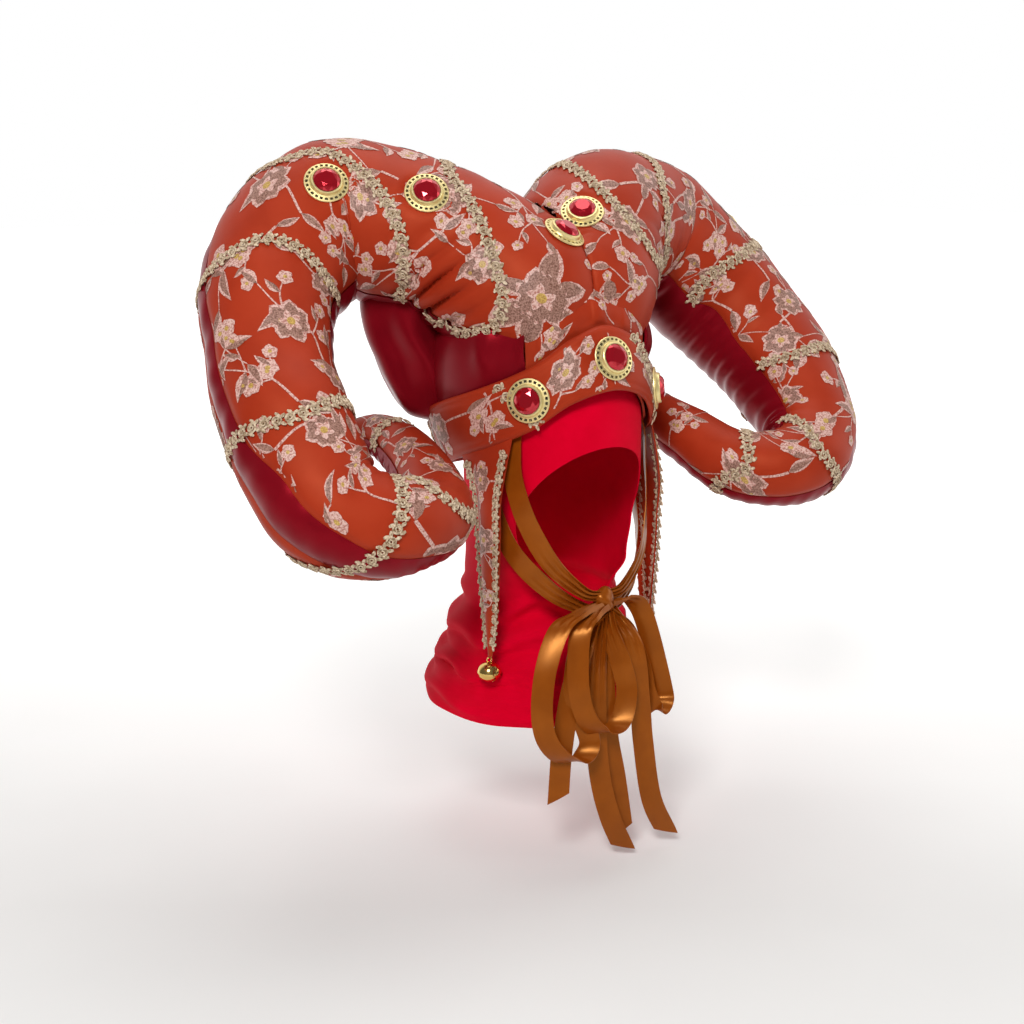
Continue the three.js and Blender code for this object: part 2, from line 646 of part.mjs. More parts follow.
// A flat ribbon along a curve; across gives the way its width lies at a point and tangent.
function ribbon(rows, steps, side, across, narrow) {
  const curve = new THREE.CatmullRomCurve3(
    rows.map((row) => new THREE.Vector3(side * row.out, row.back, row.up)), false, "centripetal",
  );
  const outer = [];
  const inner = [];
  for (let step = 0; step <= steps; step += 1) {
    const share = step / steps;
    const point = curve.getPoint(share);
    const tangent = curve.getTangent(share);
    const width = across(point, tangent).clone();
    width.addScaledVector(tangent, -width.dot(tangent)).normalize();
    const normal = new THREE.Vector3().crossVectors(tangent, width);
    const half = (RIBBON_WIDTH / 2) * narrow(share);
    const edge = (reach, lift) => point.clone().addScaledVector(width, reach * half)
      .addScaledVector(normal, lift * RIBBON_THICKNESS / 2);
    outer.push([edge(-1, 1), edge(1, 1)]);
    inner.push([edge(-1, -1), edge(1, -1)]);
  }
  return sheet(outer, inner);
}

function knot(grow) {
  const ball = new THREE.SphereGeometry(1, 9, 6);
  ball.scale(KNOT.halfWidth + grow, KNOT.halfDepth + grow, KNOT.halfHeight + grow);
  ball.translate(0, KNOT.back, KNOT.up);
  return toSolid(ball);
}

// A tie, sewn to the lower edge of the cap and cut to the knot.
function strap(which, side, hem) {
  const outward = (point, tangent) => {
    const away = new THREE.Vector3(point.x, point.y * 0.8, 0).normalize();
    return new THREE.Vector3().crossVectors(tangent, away);
  };
  const narrow = (share) => 1 - 0.5 * THREE.MathUtils.smoothstep(share, 0.55, 0.95);
  const band = toSolid(ribbon(STRAPS[which], 12, side, outward, narrow)).subtract(knot(GAP));
  return toGeometry(largest(band.subtract(hem).subtract(hem.translate(0, 0, -GAP))));
}

function bow() {
  const gathered = (share) => 0.6 + 0.4 * THREE.MathUtils.smoothstep(Math.min(share, 1 - share), 0, 0.2);
  const flared = (share) => 0.6 + 0.4 * THREE.MathUtils.smoothstep(share, 0, 0.3);
  const loops = LOOPS.map((rows) => toSolid(ribbon(rows, 20, 1, () => LOOP_ACROSS, gathered)));
  const tails = TAILS.map((rows) => toSolid(ribbon(rows, 9, 1, () => TAIL_ACROSS, flared)));
  return toGeometry(largest(solids.Manifold.union([knot(0), ...loops, ...tails])));
}

// A jewel: a dished metal setting with a raised collar, and a faceted stone in it. Both stand along +Z.
function settingGeometry() {
  const collar = STONE_RADIUS + 2;
  const height = JEWEL_HEIGHTS;
  const inside = STONE_RADIUS + GAP;
  const profile = [
    [0, 0], [SETTING_RADIUS, 0], [SETTING_RADIUS, height.rim], [collar + 0.6, height.rim + 0.8],
    [collar, height.collar], [inside, height.collar], [inside, height.seat], [0, height.seat],
  ].map(([radius, up]) => new THREE.Vector2(radius, up));
  return toGeometry(toSolid(new THREE.LatheGeometry(profile, SETTING_SIDES).rotateX(Math.PI / 2)));
}

function stoneGeometry() {
  const height = JEWEL_HEIGHTS;
  const low = height.seat + GAP;
  const profile = [
    [0, low], [STONE_RADIUS * 0.7, low], [STONE_RADIUS, height.collar],
    [STONE_RADIUS * 0.84, height.crown], [STONE_RADIUS * 0.58, height.table], [0, height.table],
  ].map(([radius, up]) => new THREE.Vector2(radius, up));
  return toGeometry(toSolid(new THREE.LatheGeometry(profile, STONE_SIDES).rotateX(Math.PI / 2)));
}

const standing = (seat) => new THREE.Quaternion().setFromUnitVectors(new THREE.Vector3(0, 0, 1), seat.normal);

// The dent that a setting presses into a horn.
function dent(seat) {
  const height = 20;
  const pad = new THREE.CylinderGeometry(SETTING_RADIUS + GAP, SETTING_RADIUS + GAP, height, SETTING_SIDES);
  pad.rotateX(Math.PI / 2).translate(0, 0, height / 2 - GAP);
  pad.applyQuaternion(standing(seat)).translate(seat.point.x, seat.point.y, seat.point.z);
  return toSolid(pad);
}

function addJewel(name, seat) {
  const turn = standing(seat);
  const pieces = [
    add(`setting_${name}`, settingGeometry(), GOLD),
    add(`stone_${name}`, stoneGeometry(), RUBY),
  ];
  pieces.forEach((piece) => {
    piece.position.copy(seat.point);
    piece.quaternion.copy(turn);
  });
}

function bandSeat(angle) {
  const point = bandPoint(angle, 0.5, BAND_THICKNESS);
  const above = bandPoint(angle, 0.8, BAND_THICKNESS).sub(point);
  const along = bandPoint(angle + 2, 0.5, BAND_THICKNESS).sub(point);
  const normal = new THREE.Vector3().crossVectors(along, above).normalize();
  if (normal.dot(point) < 0) {
    normal.negate();
  }
  return { point: point.addScaledVector(normal, GAP), normal };
}

// Assembly
const cap = toSolid(capFilled(GAP));
const bandGeometry = brimBand();
add("crown_front", capPanel(CAP_ANGLES.front), BROCADE);
const satinBack = toSolid(capPanel(CAP_ANGLES.back));
add("crown_back", toGeometry(satinBack), SATIN);
add("brow_band", bandGeometry, BROCADE);
add("hood", hood(), KNIT);

const hornSeats = Object.fromEntries(Object.keys(SIDES).map((name) => {
  const horn = new Horn(name);
  return [name, HORN_JEWELS[name].map((row) => horn.seat(row))];
}));
const dents = Object.values(hornSeats).flat().map(dent);

for (const [name, side] of Object.entries(SIDES)) {
  const horn = new Horn(name);
  const across = new THREE.BoxGeometry(400, 600, 600).translate(-side * (200 - GAP / 2), 0, 0);
  const trimmed = (geometry) =>
    toGeometry(largest(toSolid(geometry).subtract(cap).subtract(toSolid(across))));
  const dented = dents.reduce((body, pad) => body.subtract(pad), toSolid(trimmed(horn.body())));
  add(`horn_${name}`, toGeometry(largest(dented)), BROCADE);
  add(`gusset_inner_${name}`, trimmed(horn.gusset(INNER_GUSSET, true)), SATIN);
  add(`gusset_outer_${name}`, trimmed(horn.gusset(OUTER_GUSSET, false)), SATIN);
  add(`side_puff_${name}`, sidePuff(name, horn, cap, toSolid(bandGeometry)), SATIN);
  add(`ear_flap_${name}`, flap(name), BROCADE);
  const { mesh, at } = bell(`bell_${name}`);
  mesh.position.set(side * at[0], at[1], at[2]);
  add(`strap_front_${name}`, strap("front", side, satinBack), RIBBON);
  add(`strap_back_${name}`, strap("back", side, satinBack), RIBBON);
  HORN_JEWELS[name].forEach((row, index) => addJewel(`${name}_${row.name}`, hornSeats[name][index]));
}
BAND_JEWELS.forEach((row) => addJewel(`band_${row.name}`, bandSeat(row.angle)));
add("ribbon_bow", bow(), RIBBON);

headdress.traverse((piece) => piece.isMesh && piece.geometry.computeVertexNormals());

export default headdress;
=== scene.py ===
"""Looks of a horned headdress: stuffed brocade horns, cap and brow band, ear flaps, ties, hood and jewels.

Tables are in millimetres, as in the part's own source. Pieces are built in metres in the part's frame, with
the front along -Y, +X to the wearer's left and +Z up.
"""

from __future__ import annotations

import functools
import logging
import math
import random
from collections.abc import Callable, Iterable, Sequence
from dataclasses import dataclass, field
from enum import Enum

import bmesh
import bpy
from bpy.types import Material, Mesh, Node, NodeSocket, NodeTree, Object
from mathutils import Matrix, Vector, kdtree, noise

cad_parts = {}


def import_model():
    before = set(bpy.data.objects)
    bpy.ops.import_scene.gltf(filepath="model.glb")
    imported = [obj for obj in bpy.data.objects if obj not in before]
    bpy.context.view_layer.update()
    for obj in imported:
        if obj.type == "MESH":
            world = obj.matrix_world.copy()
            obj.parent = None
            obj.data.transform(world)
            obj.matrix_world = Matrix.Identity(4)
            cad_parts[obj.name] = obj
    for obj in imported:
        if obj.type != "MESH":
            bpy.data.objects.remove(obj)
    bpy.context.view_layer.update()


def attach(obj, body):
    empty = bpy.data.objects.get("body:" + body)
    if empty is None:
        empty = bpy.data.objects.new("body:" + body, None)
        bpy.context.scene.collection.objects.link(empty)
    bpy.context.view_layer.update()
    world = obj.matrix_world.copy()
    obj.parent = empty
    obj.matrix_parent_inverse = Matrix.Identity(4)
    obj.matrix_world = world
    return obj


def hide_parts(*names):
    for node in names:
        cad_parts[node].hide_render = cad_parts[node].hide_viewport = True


LOG = logging.getLogger("headdress")
UNIT = 0.001
TURN = 2 * math.pi
Pair = tuple[float, float]
Triple = tuple[float, float, float]
Row = tuple[float, ...]
Rows = tuple[Row, ...]
WHITE = "#FFFFFF"
# A surface to lay a patch on: the point for the shares across and along, or None where it has no cloth.
Place = Callable[[float, float], "Vector | None"]
# A flat chart of a surface: the point for millimetres along and across and a lift, or None off its cloth.
Chart = Callable[[float, float, float], "Vector | None"]


class Side(Enum):
    """The wearer's sides, with the sign that mirrors a piece to its side."""

    RIGHT = -1.0
    LEFT = 1.0

    @property
    def label(self) -> str:
        """Returns the word that the part's nodes use for the side."""
        return self.name.lower()

    @property
    def mirror(self) -> Vector:
        """Returns what out, back and up are multiplied by."""
        return Vector((self.value, 1.0, 1.0))


class Thread(Enum):
    """The weft colours of the brocade, as material places on a motif piece."""

    PALE = 0
    TAUPE = 1
    GOLD = 2


def ease(share: float) -> float:
    """Returns a share, held between 0 and 1 and eased in and out."""
    held = min(1.0, max(0.0, share))
    return held * held * (3 - 2 * held)


def lerp(start: float, end: float, share: float) -> float:
    """Returns the value at a share of the way from start to end."""
    return start + (end - start) * share


def bump(distance: float, width: float) -> float:
    """Returns a soft bell of height 1 that has fallen to about a third at its width."""
    return math.exp(-((distance / width) ** 2))


def square_to(line: Vector, way: Vector) -> Vector:
    """Returns the unit direction that is square to a line and nearest to a given way."""
    return (way - line * way.dot(line)).normalized()


def heading(turn: float) -> Vector:
    """Returns the flat unit vector that points at an angle."""
    return Vector((math.cos(turn), math.sin(turn)))


def table_at(rows: Rows, position: float, column: int) -> float:
    """Reads a table whose first column is a position, eased between rows.

    Args:
        rows: the rows, in order of their first column.
        position: where to read.
        column: the column to read.

    Returns:
        The value there.
    """
    if position <= rows[0][0]:
        return rows[0][column]
    for low, high in zip(rows, rows[1:]):
        if position <= high[0]:
            share = (position - low[0]) / (high[0] - low[0])
            return lerp(low[column], high[column], ease(share))
    return rows[-1][column]


def smooth_at(rows: Rows, position: float, column: int) -> float:
    """Reads a table with a smooth line through its rows, level at the first and the last.

    Args:
        rows: the table, sorted by its first column.
        position: where to read, in the first column.
        column: the column to read.

    Returns:
        The value.
    """
    index = max(0, min(len(rows) - 2, sum(row[0] <= position for row in rows) - 1))
    low, high = rows[index], rows[index + 1]
    width = high[0] - low[0]

    def slope(middle: int) -> float:
        """Returns how steep the line is at a row, over the width of this step."""
        if middle in (0, len(rows) - 1):
            return 0.0
        before, after = rows[middle - 1], rows[middle + 1]
        return (after[column] - before[column]) / (after[0] - before[0]) * width

    share = max(0.0, min(1.0, (position - low[0]) / width))
    rest = 1 - share
    ends = low[column] * rest * rest * (1 + 2 * share) + high[column] * share * share * (1 + 2 * rest)
    return ends + share * rest * (rest * slope(index) - share * slope(index + 1))


@dataclass(frozen=True)
class Curve:
    """A smooth curve through rows of numbers, with one unit of position from row to row."""

    rows: Rows

    @property
    def last(self) -> int:
        """Returns the position of the last row."""
        return len(self.rows) - 1

    def at(self, position: float) -> Vector:
        """Reads the curve.

        Args:
            position: the position along the rows.

        Returns:
            The numbers there.
        """
        index = min(self.last - 1, max(0, int(position)))
        share = position - index
        here, after = Vector(self.rows[index]), Vector(self.rows[index + 1])
        before = Vector(self.rows[index - 1]) if index else 2 * here - after
        beyond = Vector(self.rows[index + 2]) if index + 2 <= self.last else 2 * after - here
        square = (2 * before - 5 * here + 4 * after - beyond) * share**2
        cube = (3 * here - before - 3 * after + beyond) * share**3
        return 0.5 * (2 * here + (after - before) * share + square + cube)

    def tangent(self, position: float) -> Vector:
        """Finds the way the curve runs.

        Args:
            position: the position along the rows.

        Returns:
            The unit tangent.
        """
        step = 0.02
        low, high = max(0.0, position - step), min(float(self.last), position + step)
        return (self.at(high) - self.at(low)).normalized()


# Finishes


def srgb(code: str) -> tuple[float, float, float, float]:
    """Turns a colour code into linear light.

    Args:
        code: a code such as "#B03A22".

    Returns:
        The linear colour with full opacity.
    """
    shares = [int(code[place : place + 2], 16) / 255 for place in (1, 3, 5)]
    red, green, blue = (
        share / 12.92 if share <= 0.04045 else ((share + 0.055) / 1.055) ** 2.4 for share in shares
    )
    return red, green, blue, 1.0


def feed(tree: NodeTree, node: Node, **inputs: object) -> None:
    """Sets or links the inputs of a node.

    Args:
        tree: the node tree.
        node: the node.
        inputs: values or sockets for its inputs, named with underscores for spaces.
    """
    for name, value in inputs.items():
        socket = node.inputs[name.replace("_", " ")]
        if isinstance(value, NodeSocket):
            tree.links.new(value, socket)
        else:
            socket.default_value = value


def add_node(
    tree: NodeTree, kind: str, settings: dict[str, str] | None = None, **inputs: object
) -> Node:
    """Adds a node to a node tree.

    Args:
        tree: the node tree.
        kind: the node's type name.
        settings: the node's own options.
        inputs: values or sockets for its inputs, named with underscores for spaces.

    Returns:
        The new node.
    """
    node = tree.nodes.new(kind)
    for name, value in (settings or {}).items():
        setattr(node, name, value)
    feed(tree, node, **inputs)
    return node


def blank(name: str) -> tuple[Material, Node, NodeSocket]:
    """Starts a material.

    Args:
        name: the material's name.

    Returns:
        The material, its shader and the socket of the piece's own coordinates.
    """
    made = bpy.data.materials.new(name)
    made.use_nodes = True
    place = add_node(made.node_tree, "ShaderNodeTexCoord").outputs["Object"]
    return made, made.node_tree.nodes["Principled BSDF"], place


def ramp(
    tree: NodeTree, place: NodeSocket, way: Row, **inputs: float
) -> NodeSocket:
    """Adds a ramp that runs in one direction.

    Args:
        tree: the node tree.
        place: the coordinates.
        way: the direction.
        inputs: the ramp's ends, named as the inputs of its node.

    Returns:
        The socket with the ramp's value.
    """
    along = add_node(tree, "ShaderNodeVectorMath", {"operation": "DOT_PRODUCT"}, Vector=place)
    along.inputs[1].default_value = way
    return add_node(tree, "ShaderNodeMapRange", Value=along.outputs["Value"], **inputs).outputs["Result"]


@dataclass(frozen=True)
class Cloth:
    """A cloth: two shades that drift into each other, and a fine weave that catches the light."""

    name: str
    light: str
    dark: str
    drift_mm: float
    weave_mm: float
    weave_depth_mm: float
    roughness: float
    specular: float = 0.5
    shine: str = WHITE
    contrast: Pair = (0.35, 0.65)
    weave_strength: float = 0.6

    def material(self) -> Material:
        """Makes the material.

        Returns:
            The new material.
        """
        made, shader, place = blank(self.name)
        tree = made.node_tree
        noises = [
            add_node(tree, "ShaderNodeTexNoise", Vector=place, Scale=1 / (size * UNIT), Detail=detail)
            for size, detail in ((self.drift_mm, 3.0), (self.weave_mm, 1.0))
        ]
        drift, weave = (node.outputs["Fac"] for node in noises)
        low, high = self.contrast
        share = add_node(tree, "ShaderNodeMapRange", Value=drift, From_Min=low, From_Max=high)
        shade = add_node(
            tree, "ShaderNodeMixRGB", Fac=share.outputs["Result"],
            Color1=srgb(self.dark), Color2=srgb(self.light),
        )
        relief = add_node(
            tree, "ShaderNodeBump", Height=weave,
            Distance=self.weave_depth_mm * UNIT, Strength=self.weave_strength,
        )
        feed(
            tree, shader, Base_Color=shade.outputs["Color"], Normal=relief.outputs["Normal"],
            Roughness=self.roughness, Specular_IOR_Level=self.specular, Specular_Tint=srgb(self.shine),
        )
        return made


@dataclass(frozen=True)
class Hard:
    """A hard finish: metal or foiled glass, with a little unevenness in its shine."""

    name: str
    colour: str
    metallic: float
    roughness: float
    coat: float = 0.0
    coat_roughness: float = 0.03
    uneven_mm: float = 4.0
    uneven_share: float = 0.25

    def material(self) -> Material:
        """Makes the material.

        Returns:
            The new material.
        """
        made, shader, place = blank(self.name)
        tree = made.node_tree
        uneven = add_node(
            tree, "ShaderNodeTexNoise", Vector=place, Scale=1 / (self.uneven_mm * UNIT), Detail=2.0
        )
        shine = add_node(
            tree, "ShaderNodeMapRange", Value=uneven.outputs["Fac"],
            To_Min=self.roughness * (1 - self.uneven_share), To_Max=self.roughness * (1 + self.uneven_share),
        )
        feed(
            tree, shader, Roughness=shine.outputs["Result"], Base_Color=srgb(self.colour),
            Metallic=self.metallic, Coat_Weight=self.coat, Coat_Roughness=self.coat_roughness,
        )
        return made


# The threads of these cloths are finer than the picture can show, so each weave is drawn two to four times as
# coarse, at 0.5 to 0.9 mm.
# Rust red brocade ground: matt, with only a faint drift of shade from the close weave.
BROCADE = Cloth(
    "silk brocade, rust red", "#A8331A", "#9E2D15", 40, 0.7, 0.1, 0.5, specular=0.45, shine="#FF9A70"
)
# Pale pink weft: mottled, the threads break up into rose and the rust ground.
PALE_WEFT = Cloth("brocade weft, pale pink", "#DEB8AC", "#A86658", 1.7, 0.6, 0.15, 0.5, contrast=(0.36, 0.58))
# Taupe weft: brown petals and leaves with lighter flecks.
TAUPE_WEFT = Cloth("brocade weft, taupe", "#A87E6E", "#6C4031", 1.5, 0.6, 0.15, 0.5, contrast=(0.36, 0.6))
# Gold weft: the flower centres.
GOLD_WEFT = Cloth("brocade weft, gold", "#D6B25E", "#9C7434", 1.2, 0.6, 0.15, 0.42)
# Crimson satin: deep in the folds and bright on their backs.
SATIN = Cloth(
    "polyester satin, crimson", "#7C0C19", "#720A16", 40, 0.5, 0.04, 0.3, specular=0.7, shine="#FF3C4C"
)
# Fine red jersey: bright, soft and quite matt.
JERSEY = Cloth("cotton jersey, red", "#DC0028", "#D40024", 25, 0.9, 0.1, 0.75, specular=0.2, shine="#FF4858")
# Bronze satin ribbon: warm with a broad shine.
RIBBON = Cloth(
    "satin ribbon, bronze", "#8E440A", "#843D08", 20, 0.5, 0.04, 0.3, specular=1.0, shine="#FFB060"
)
# Champagne guipure lace: matt cords, mottled at random with a darker brown that is painted shade standing for
# the hollows.
LACE = Cloth("guipure lace, champagne", "#E2CDB0", "#8E7252", 2.4, 0.7, 0.2, 0.65)
# Pale gold plate of the settings: cast, then brushed, so its shine is broad.
GOLD = Hard("gold plated brass", "#F2DE9E", 0.75, 0.38)
# Near black painted shade on the floors of the pierced gaps of the settings, for the dark seen through them:
# almost no shine.
PAINTED_GAP_SHADE = Hard("painted shade in pierced gaps", "#1C140C", 0.0, 0.8)
# Foil backed red glass: bright and dark facets.
RUBY = Hard("foiled glass, ruby red", "#C00A22", 0.6, 0.05, coat=0.6)
# Polished bell brass: small sharp lights.
BELL_GOLD = Hard("polished bell brass", "#E6C272", 1.0, 0.18)
# Matt white paint of the floor: even and without shine.
FLOOR_PAINT = Cloth("matt white floor paint", "#EAE9E7", "#E6E5E3", 400, 5, 0.01, 0.9, specular=0.1)


# Meshes

# How near vertices are joined, in metres: on plain sheets, on shapes with poles and on wrapped shapes.
SHEET_JOIN = 1e-6
POLE_JOIN = 1e-5
WRAP_JOIN = 2e-5
# A corner that lands more than this many thicknesses from its sheet is a spike.
SPIKE = 3


@dataclass(frozen=True)
class Cut:
    """How a sheet of cloth was cut: the width of its rectangle, its share of that, and how it is held."""

    width: float
    share: float
    held: str
    rests_on: tuple[str, ...] = ()


class MeshMaker:
    """Collects bmesh work for one piece of the look."""

    def __init__(self) -> None:
        """Starts an empty mesh with a UV map."""
        self.mesh = bmesh.new()
        self.mesh.loops.layers.uv.new("UVMap")

    def patch(self, place: Place, across: int, along: int, slot: int = 0) -> list[bmesh.types.BMVert]:
        """Makes a grid and lays it on a surface.

        Args:
            place: gives the point for the shares across and along, or None where the patch has no cloth.
            across: the number of faces across.
            along: the number of faces along.
            slot: the material place of its faces.

        Returns:
            The vertices that were kept.
        """
        made = bmesh.ops.create_grid(self.mesh, x_segments=across, y_segments=along, size=0.5, calc_uvs=True)
        kept, lost = [], []
        for vert in made["verts"]:
            point = place(vert.co.x + 0.5, vert.co.y + 0.5)
            if point is None:
                lost.append(vert)
            else:
                vert.co = point
                kept.append(vert)
        if slot:
            for face in {face for vert in made["verts"] for face in vert.link_faces}:
                face.material_index = slot
        if lost:
            bmesh.ops.delete(self.mesh, geom=lost, context="VERTS")
        return kept

    def stamp(self, shape: Mesh, matrix: Matrix) -> None:
        """Adds a copy of a ready shape.

        Args:
            shape: the shape's mesh.
            matrix: where it goes.
        """
        copy = shape.copy()
        copy.transform(matrix)
        self.mesh.from_mesh(copy)
        bpy.data.meshes.remove(copy)

    def close(self, distance: float = 2e-6) -> None:
        """Joins vertices nearer than a distance and turns all faces outwards."""
        bmesh.ops.remove_doubles(self.mesh, verts=self.mesh.verts, dist=distance)
        bmesh.ops.recalc_face_normals(self.mesh, faces=self.mesh.faces)

    def area(self) -> float:
        """Returns the area of the cloth in square metres, before it gets its thickness."""
        return sum(face.calc_area() for face in self.mesh.faces)

    def thicken(self, thickness: float) -> None:
        """Gives a sheet its thickness, and takes back corners that a tight fold throws out as spikes.

        Args:
            thickness: the thickness in metres, inwards when positive.
        """
        plain = kdtree.KDTree(len(self.mesh.verts))
        for index, vert in enumerate(self.mesh.verts):
            plain.insert(vert.co, index)
        plain.balance()
        bmesh.ops.solidify(self.mesh, geom=list(self.mesh.faces), thickness=thickness)
        for vert in self.mesh.verts:
            spot, _, distance = plain.find(vert.co)
            if distance > SPIKE * abs(thickness):
                vert.co = spot

    def shape(self, name: str, sharp: float = 1.0) -> Mesh:
        """Turns the work into a mesh.

        Args:
            name: the mesh's name.
            sharp: edges that turn by more than this, in radians, stay sharp.

        Returns:
            The mesh.
        """
        for face in self.mesh.faces:
            face.smooth = True
        for edge in self.mesh.edges:
            edge.smooth = edge.calc_face_angle(0.0) < sharp
        made = bpy.data.meshes.new(name)
        self.mesh.to_mesh(made)
        self.mesh.free()
        return made

    def piece(
        self,
        name: str,
        looks: Sequence[Material],
        slot: str,
        replaced: Iterable[str] = (),
        sharp: float = 1.0,
    ) -> Object:
        """Turns the work into a piece of the look.

        Args:
            name: the piece's name.
            looks: its materials.
            slot: the record's material slot that it stands for; not used.
            replaced: the part's nodes that it stands for.
            sharp: edges that turn by more than this stay sharp.

        Returns:
            The piece.
        """
        made = bpy.data.objects.new(name, self.shape(name, sharp))
        for look in looks:
            made.data.materials.append(look)
        bpy.context.collection.objects.link(made)
        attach(made, "root")
        nodes = list(replaced)
        if nodes:
            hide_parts(*nodes)
        LOG.info("%s: %d faces", name, len(made.data.polygons))
        return made

    def sheet(self, thickness: float, name: str, look: Material, slot: str, node: str) -> None:
        """Turns the work into a sheet of cloth.

        Args:
            thickness: its thickness in metres.
            name: the piece's name.
            look: its material.
            slot: the record's material slot that it stands for.
            node: the part's node that it stands for.
        """
        area = self.area()
        self.thicken(thickness)
        self.piece(name, [look], slot, [node])


@dataclass(frozen=True)
class Looks:
    """The materials, made once."""

    brocade: Material
    weft: tuple[Material, ...]
    satin: Material
    jersey: Material
    ribbon: Material
    lace: Material
    gold: Material
    # The near black painted shade on the floors of the pierced gaps of the settings.
    gap: Material
    ruby: Material
    bell: Material

    @classmethod
    def make(cls) -> Looks:
        """Makes all the materials.

        Returns:
            The materials.
        """
        ground = BROCADE.material()
        weft = tuple(finish.material() for finish in (PALE_WEFT, TAUPE_WEFT, GOLD_WEFT))
        others = (SATIN, JERSEY, RIBBON, LACE, GOLD, PAINTED_GAP_SHADE, RUBY, BELL_GOLD)
        return cls(ground, weft, *(finish.material() for finish in others))


# Woven flowers and lace


@dataclass
class Spray:
    """Woven sprays of branches, leaves and flowers, laid as thin raised patches on a brocade surface."""

    maker: MeshMaker
    chance: random.Random
    lift_mm: float = 0.3
    sway: float = 0.12
    stem_mm: Pair = (46.0, 14.0)
    stem_width_mm: float = 2.6
    twig_mm: Pair = (24.0, 38.0)
    twig_width_mm: float = 2.0
    blossom_mm: Pair = (6.5, 9.5)
    cluster_mm: Pair = (9.0, 12.0)
    peony_mm: Pair = (19.0, 23.0)
    leaf_mm: Pair = (14.0, 22.0)
    end_leaf_mm: Pair = (22.0, 34.0)

    def petal(
        self,
        chart: Chart,
        start: Vector,
        turn: float,
        size: Pair,
        thread: Thread,
        lift: float,
        full: float,
    ) -> None:
        """Draws one petal or leaf.

        Args:
            chart: the surface round the motif.
            start: where the petal starts, on the chart.
            turn: the way it points.
            size: its length and width.
            thread: its colour.
            lift: its height above the cloth in millimetres.
            full: how round its ends are, smaller for rounder.
        """
        length, width = size
        way = heading(turn)
        square = Vector((-way.y, way.x))
        sway = self.chance.uniform(-self.sway, self.sway) * length

        def place(across: float, along: float) -> Vector | None:
            """Returns a point of the petal, which is widest before its middle."""
            half = (across - 0.5) * width * max(0.0, math.sin(math.pi * along**0.8)) ** full
            at = start + way * (along * length) + square * (half + sway * math.sin(math.pi * along))
            return chart(at.x, at.y, lift)

        self.maker.patch(place, 2, 5, thread.value)

    def twig(self, chart: Chart, points: Sequence[Vector], width: float, thread: Thread) -> None:
        """Draws a branch.

        Args:
            chart: the surface round the motif.
            points: the points it runs through, on the chart.
            width: its width.
            thread: its colour.
        """
        curve = Curve(tuple((point.x, point.y, 0.0) for point in points))

        def place(across: float, along: float) -> Vector | None:
            """Returns a point of the branch, which thins out to its end."""
            position = along * curve.last
            at, way = curve.at(position), curve.tangent(position)
            half = (across - 0.5) * width * (1 - 0.6 * along)
            return chart(at.x - way.y * half, at.y + way.x * half, self.lift_mm)

        self.maker.patch(place, 1, 5 * curve.last, thread.value)

    def disc(self, chart: Chart, middle: Vector, radius: float, thread: Thread, lift: float) -> None:
        """Draws a round flower centre.

        Args:
            chart: the surface round the motif.
            middle: its middle, on the chart.
            radius: its radius.
            thread: its colour.
            lift: its height above the cloth.
        """

        def place(across: float, along: float) -> Vector | None:
            """Returns a point of the disc, a square pressed round."""
            x, y = 2 * across - 1, 2 * along - 1
            flat = Vector((x * math.sqrt(1 - y * y / 2), y * math.sqrt(1 - x * x / 2)))
            return chart(middle.x + radius * flat.x, middle.y + radius * flat.y, lift)

        self.maker.patch(place, 4, 4, thread.value)

    def blossom(self, chart: Chart, middle: Vector, radius: float) -> None:
        """Draws a small five petalled flower.

        Args:
            chart: the surface round the motif.
            middle: its middle, on the chart.
            radius: its radius.
        """
        first = self.chance.uniform(0, TURN)
        for index in range(5):
            size = (radius * self.chance.uniform(0.9, 1.1), radius * 1.05)
            self.petal(chart, middle, first + index * TURN / 5, size, Thread.PALE, self.lift_mm + 0.1, 0.6)
        self.disc(chart, middle, radius * 0.24, Thread.GOLD, self.lift_mm + 0.3)

    def peony(self, chart: Chart, middle: Vector, radius: float) -> None:
        """Draws a large flower: pale edged taupe petals round a gold centre.

        Args:
            chart: the surface round the motif.
            middle: its middle, on the chart.
            radius: its radius.
        """
        first, lift = self.chance.uniform(0, TURN), self.lift_mm
        for index in range(7):
            turn = first + index * TURN / 7 + self.chance.uniform(-0.1, 0.1)
            length = radius * self.chance.uniform(0.85, 1.1)
            self.petal(chart, middle, turn, (length, radius * 0.8), Thread.PALE, lift + 0.1, 0.55)
            self.petal(chart, middle, turn, (length * 0.86, radius * 0.62), Thread.TAUPE, lift + 0.25, 0.6)
        for index in range(5):
            turn = first + 0.4 + index * TURN / 5
            self.petal(chart, middle, turn, (radius * 0.5, radius * 0.3), Thread.PALE, lift + 0.4, 0.6)
        self.disc(chart, middle, radius * 0.17, Thread.GOLD, lift + 0.55)

    def leaf(self, chart: Chart, start: Vector, turn: float, length: float, broad: float = 0.36) -> None:
        """Draws a pale edged taupe leaf.

        Args:
            chart: the surface round the motif.
            start: its foot, on the chart.
            turn: the way it points.
            length: its length.
            broad: its width as a share of its length.
        """
        full = 1.1 if broad < 0.5 else 0.7
        self.petal(chart, start, turn, (length, length * broad), Thread.PALE, self.lift_mm, full)
        inside = (length * 0.88, length * (broad - 0.14))
        self.petal(chart, start, turn, inside, Thread.TAUPE, self.lift_mm + 0.15, full)

    def draw(self, chart: Chart, large: bool, size: float) -> None:
        """Draws a whole spray.

        Args:
            chart: the surface round its middle.
            large: whether it carries a large flower.
            size: its scale, 1 for the usual size.
        """
        turn = Matrix.Rotation(self.chance.uniform(0, TURN), 2)
        spread = self.chance.uniform
        far, near = self.stem_mm

        def at(along: float, across: float) -> Vector:
            """Returns a point of the spray, scaled and turned."""
            return turn @ Vector((along * size, across * size))

